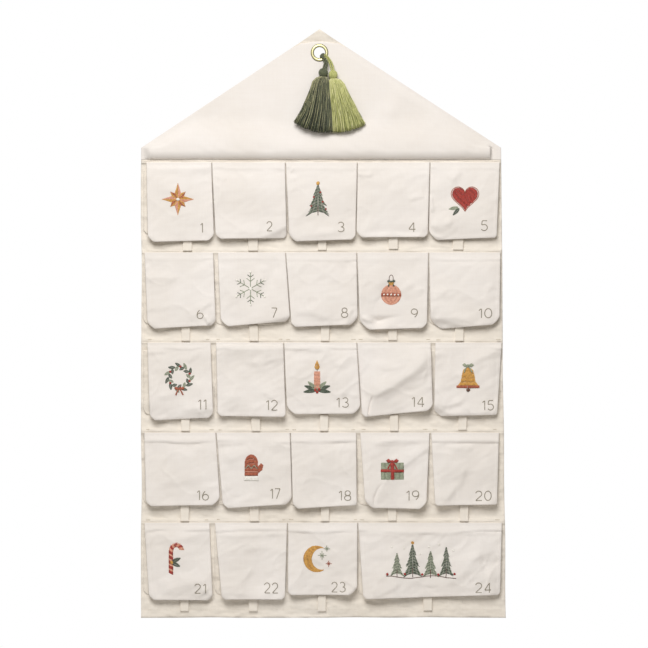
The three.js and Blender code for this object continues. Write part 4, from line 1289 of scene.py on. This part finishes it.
# Brass, wood and the tassels

CROWN = 1.8 * MM


def eyelet():
    """The rolled crown and barrel, and the washer behind the cloth."""
    bore, flange = 9.35 * MM, 14.6 * MM
    back, rear = HEADER_FRONT - GAP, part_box("eyelet")[1].y
    middle, half = (bore + flange) / 2, (flange - bore) / 2
    dome = [(middle - half * math.cos(a), back - CROWN * (0.25 + 0.75 * math.sin(a)))
            for a in np.linspace(0, math.pi, 22)]
    rolled = [(bore + out * MM, rear - up * MM) for out, up in ((0.5, 0.6), (2.9, 0.6), (3.0, 0.3), (2.7, 0))]
    profile = [(bore, rear)] + dome + [(flange, back), (bore + 0.5 * MM, back)] + rolled
    add(turned("eyelet_brass", profile, BRASS), "hanging", "brass", "eyelet")
    low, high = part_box("eyelet_washer")
    inner, edge = 10.2 * MM, 0.2 * MM
    washer = turned("washer_brass", [
        (inner, high.y), (inner, low.y), (flange - edge, low.y), (flange, low.y + edge),
        (flange, high.y - edge), (flange - edge, high.y)], BRASS)
    add(washer, "hanging", "brass", "eyelet_washer")


eyelet()
for node, material in (("dowel", WOOD), ("tassel_anchor", SKIRTS["dark"]["threads"])):
    frame["nodes"][node].data.materials.clear()
    frame["nodes"][node].data.materials.append(material)

# Each tassel in photograph pixels: the cord's way out of the bore, the ball's centre and half
# sizes, and the skirt's left and right outlines from the neck to the foot
# Each tassel also gives the chance that every third clump of its outer threads is painted near black as shade
TASSELS = [
    {
        "name": "dark", "full": 1.25, "streaky": 0.9, "seed": 5, "front": 1.2 * MM, "sag": 3.9,
        "cord": [(321.9, 56.2), (324.4, 60.0), (326.3, 63.6), (325.2, 67.0), (323.9, 70.6)],
        "ball": (323.3, 73.3), "ball_half": (4.6, 4.3),
        "left": [(319.6, 77.2), (316.2, 78.2), (312.6, 82.0), (310.0, 91.1), (306.4, 100.4), (302.2, 111.0),
                 (295.4, 123.4)],
        "right": [(326.6, 77.6), (328.6, 79.4), (328.9, 84.0), (329.1, 92.0), (330.2, 103.0), (331.4, 116.0),
                  (331.4, 131.6)],
    },
    {
        "name": "light", "full": 1.05, "streaky": 0.25, "seed": 8, "front": 0, "sag": 3.0,
        "cord": [(324.6, 54.9), (328.2, 58.8), (330.6, 63.0), (332.0, 67.4), (333.0, 72.0)],
        "ball": (333.0, 75.3), "ball_half": (4.3, 4.5),
        "left": [(330.2, 79.4), (328.8, 81.6), (329.0, 86.0), (329.6, 94.0), (330.6, 104.0), (332.0, 117.0),
                 (332.8, 131.8)],
        "right": [(336.4, 79.0), (340.6, 80.2), (344.4, 84.6), (349.4, 95.6), (355.0, 107.0), (359.6, 116.4),
                  (363.8, 125.0)],
    },
]


def outline(points, count):
    """A line read off the photograph, with the same number of steps between its points."""
    points = np.array([(across(px), height(py)) for px, py in points])
    return sampled(points, range(len(points)), np.linspace(0, len(points) - 1, count))


class Tassel:
    """A doubled cord, a wound ball and a skirt of separate threads."""

    CLUMPS = 26
    LAYERS = ((1.0, 270), (0.84, 190), (0.55, 60))  # how far out, and how many threads

    def __init__(self, spec):
        self.spec, self.name = spec, f"{spec['name']}_tassel"
        self.greens = SKIRTS[spec["name"]]
        low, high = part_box(f"{self.name}_head")
        self.y = (low.y + high.y) / 2 - spec["front"]
        self.ball = np.array([across(spec["ball"][0]), self.y, height(spec["ball"][1])])
        self.wide, self.tall = [size * PIXEL for size in spec["ball_half"]]
        self.cords()
        self.wound_ball()
        self.skirt(random.Random(spec["seed"]))
        self.binding()

    def piece(self, part, paths, radii, kind, sides, *nodes, limit=None):
        made = swept(f"{self.name}_{part}", paths, radii, self.greens[kind], sides)
        if limit is not None:
            for vertex in made.data.vertices:
                vertex.co.y = min(vertex.co.y, limit)
        add(made, self.name, f"{self.spec['name']}_thread", *[f"{self.name}_{node}" for node in nodes])

    def wound_ball(self):
        ribs = 34
        rise = np.linspace(-0.5 * math.pi, 0.5 * math.pi, 15)
        r = self.wide * (0.13 + 0.83 * np.cos(rise))
        depth = min(self.wide, 6.6 * MM) / self.wide
        paths = []
        for k in range(ribs):
            twist = 2 * math.pi * k / ribs + 0.35 * np.sin(rise)
            rib = [r * np.cos(twist), r * np.sin(twist) * depth, self.tall * np.sin(rise)]
            paths.append(self.ball + np.stack(rib, axis=1))
        radii = [np.interp(np.linspace(-1, 1, 15), (-1, 0, 1), (0.3, 0.85, 0.3)) * MM] * ribs
        self.piece("ball", paths, radii, "threads", 6, "head")

    def skirt(self, draw):
        """Threads in clumps, in three layers; some outer threads take a lighter copy of the colour as painted
        highlight, and the inner layers and some outer clumps a near-black copy as painted shade.
        """
        count = 19
        left, right = outline(self.spec["left"], count), outline(self.spec["right"], count)
        share = np.linspace(0, 1, count)
        clumps = np.sort([draw.uniform(-1, 1) for _ in range(self.CLUMPS)])
        # Painted shade: every third clump, at the tassel's given chance, takes the near-black copy for its
        # outer threads
        painted_shade_marks = ["deep" if c % 3 == 0 and draw.random() < self.spec["streaky"] else "threads"
                 for c in range(self.CLUMPS)]
        strands = {"threads": [], "shine": [], "deep": []}
        for layer, number in self.LAYERS:
            for k in range(number):
                angle = 2 * math.pi * (k + draw.random() * 0.8) / number
                spread, deep = math.cos(angle) * layer, math.sin(angle) * layer
                clump = np.argmin(np.abs(clumps - spread))
                lean = lerp(spread, clumps[clump], 0.28 * share ** 1.5) + draw.gauss(0, 0.06) * share ** 1.3
                line = lerp(left, right, ((lean + 1) / 2)[:, None])
                long = 1 + draw.uniform(-0.03, 0.015)
                neck = self.ball[2] - self.tall
                sag = self.spec["sag"] * PIXEL * (1 - spread ** 2) * share ** 2
                thick = lerp(5.2, 8.4, smooth(share, 0, 0.8)) * MM * (1 - 0.3 * abs(spread) * share)
                curl, phase, turns = draw.uniform(0.2, 1.1) * MM, draw.uniform(0, 6.3), draw.uniform(8, 20)
                x = line[:, 0] + curl * np.sin(phase + turns * share) * share
                y = self.y - deep * thick + curl * np.cos(phase + turns * share) * share
                # Painted highlight: every fifth outer thread on the left, where the lamp falls, and every
                # eighth elsewhere takes the lighter copy; threads of the inner layers take the near-black
                # copy as painted shade
                painted_highlight = layer == 1 and k % (5 if spread < -0.25 else 8) == 0
                kind = "shine" if painted_highlight else painted_shade_marks[clump] if layer == 1 else "deep"
                path = [x, y - 0.35 * MM * painted_highlight, neck + (line[:, 1] - neck) * long - sag]
                size = draw.uniform(0.75, 1.1) * (1.15 if painted_highlight else 1)
                strands[kind].append((np.stack(path, axis=1), np.linspace(0.3, 0.36, count) * MM * size))
        for kind, found in strands.items():
            nodes = ["skirt"] if kind == "threads" else []
            self.piece(kind, *zip(*found), kind, 5, *nodes, limit=HEADER_FRONT - 1.2 * MM)

    def binding(self):
        turns = np.linspace(0, 2 * math.pi * 3.5, 110)
        r = 0.62 * self.wide
        neck = [self.ball[0] + r * np.cos(turns), self.y + r * np.sin(turns),
                self.ball[2] - self.tall * np.linspace(0.86, 1.16, 110)]
        self.piece("binding", [np.stack(neck, axis=1)], [0.55 * MM], "threads", 8)

    def cords(self):
        """Two strands of two plies each, out of the bore, over the brass and down to the ball."""
        full, ply = self.spec["full"] * MM, 0.75 * MM
        line = outline(self.spec["cord"], 60)
        for _ in range(6):
            line[1:-1] = (line[:-2] + 2 * line[1:-1] + line[2:]) / 4
        t = np.linspace(0, 1, 60)
        bore_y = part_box(f"{self.name}_cord")[1].y
        over = HEADER_FRONT - GAP - CROWN - 2.2 * MM - self.spec["front"] * 1.6
        y = np.interp(t, (0, 0.14, 0.5, 1), (bore_y, over + 1.6 * MM, over, self.y))
        centre = np.stack([line[:, 0], y, line[:, 1]], axis=1)
        tangent = unit(np.gradient(centre, axis=0))
        beside = unit(np.cross(tangent, [0.0, 1.0, 0.0]))
        out = np.cross(tangent, beside)
        apart = (np.interp(t, (0, 0.3, 0.7, 1), (0.6, 1.3, 1.8, 1.4)) * full)[:, None]
        thick = np.interp(t, (0, 0.25, 0.7, 1), (0.75, 0.8, 0.9, 0.85)) * full
        strands = []
        for side in (-1, 1):
            for turn in (0, math.pi):
                angle = (2 * math.pi * run_of(centre) / (5 * MM) + turn + side)[:, None]
                strand = centre + beside * side * apart - [0, side * 0.5 * MM, 0]
                strands.append(strand + ply * (np.cos(angle) * beside + np.sin(angle) * out))
        self.piece("twist", strands, [thick] * 4, "threads", 8, "cord")


for spec in TASSELS:
    Tassel(spec)


# Light, floor and background

FLOOR_HALF = 1.2
FLOOR_Z = -1.15
LAMP = (-0.36, -2.5, 1.5)
LAMP_AIM = (0, 0, -0.3)
LAMP_SIZE = 1.6
LAMP_WATTS = 86.5
FILL = (1.0, 0.94, 0.83, 1)
FILL_STRENGTH = 0.21


def lamp():
    data = bpy.data.lights.new("key", "AREA")
    data.size, data.energy = LAMP_SIZE, LAMP_WATTS
    made = shown("key", data)
    made.location = LAMP
    made.rotation_euler = (Vector(LAMP_AIM) - Vector(LAMP)).to_track_quat("-Z", "Y").to_euler()


def floor():
    made = Shader("floor", 0.9)
    material = made.dressed(made.ramp(made.noise(3, 2), (226, 226, 226), (232, 232, 232)))
    corners = [(x * FLOOR_HALF, y * FLOOR_HALF, FLOOR_Z) for x, y in ((-1, -1), (1, -1), (1, 1), (-1, 1))]
    mesh_object("floor", corners, [(0, 1, 2, 3)], material)


def world():
    """A white background, and a warm fill for the light that falls on the cloth."""
    scene = bpy.context.scene
    scene.world = bpy.data.worlds.new("world")
    scene.world.use_nodes = True
    tree = scene.world.node_tree
    tree.nodes.clear()
    path = wired(tree, "LightPath", {}).outputs
    seen = path["Is Camera Ray"]
    for ray in ("Is Glossy Ray", "Is Transmission Ray"):
        seen = wired(tree, "Math", {0: seen, 1: path[ray]}, operation="MAXIMUM").outputs[0]
    fill = wired(tree, "Background", {"Color": FILL, "Strength": FILL_STRENGTH}).outputs[0]
    white = wired(tree, "Background", {"Color": (1, 1, 1, 1), "Strength": 1.0}).outputs[0]
    mix = wired(tree, "MixShader", {0: seen, 1: fill, 2: white}).outputs[0]
    wired(tree, "OutputWorld", {"Surface": mix})
    scene.view_settings.view_transform = "Standard"


floor()
world()
lamp()
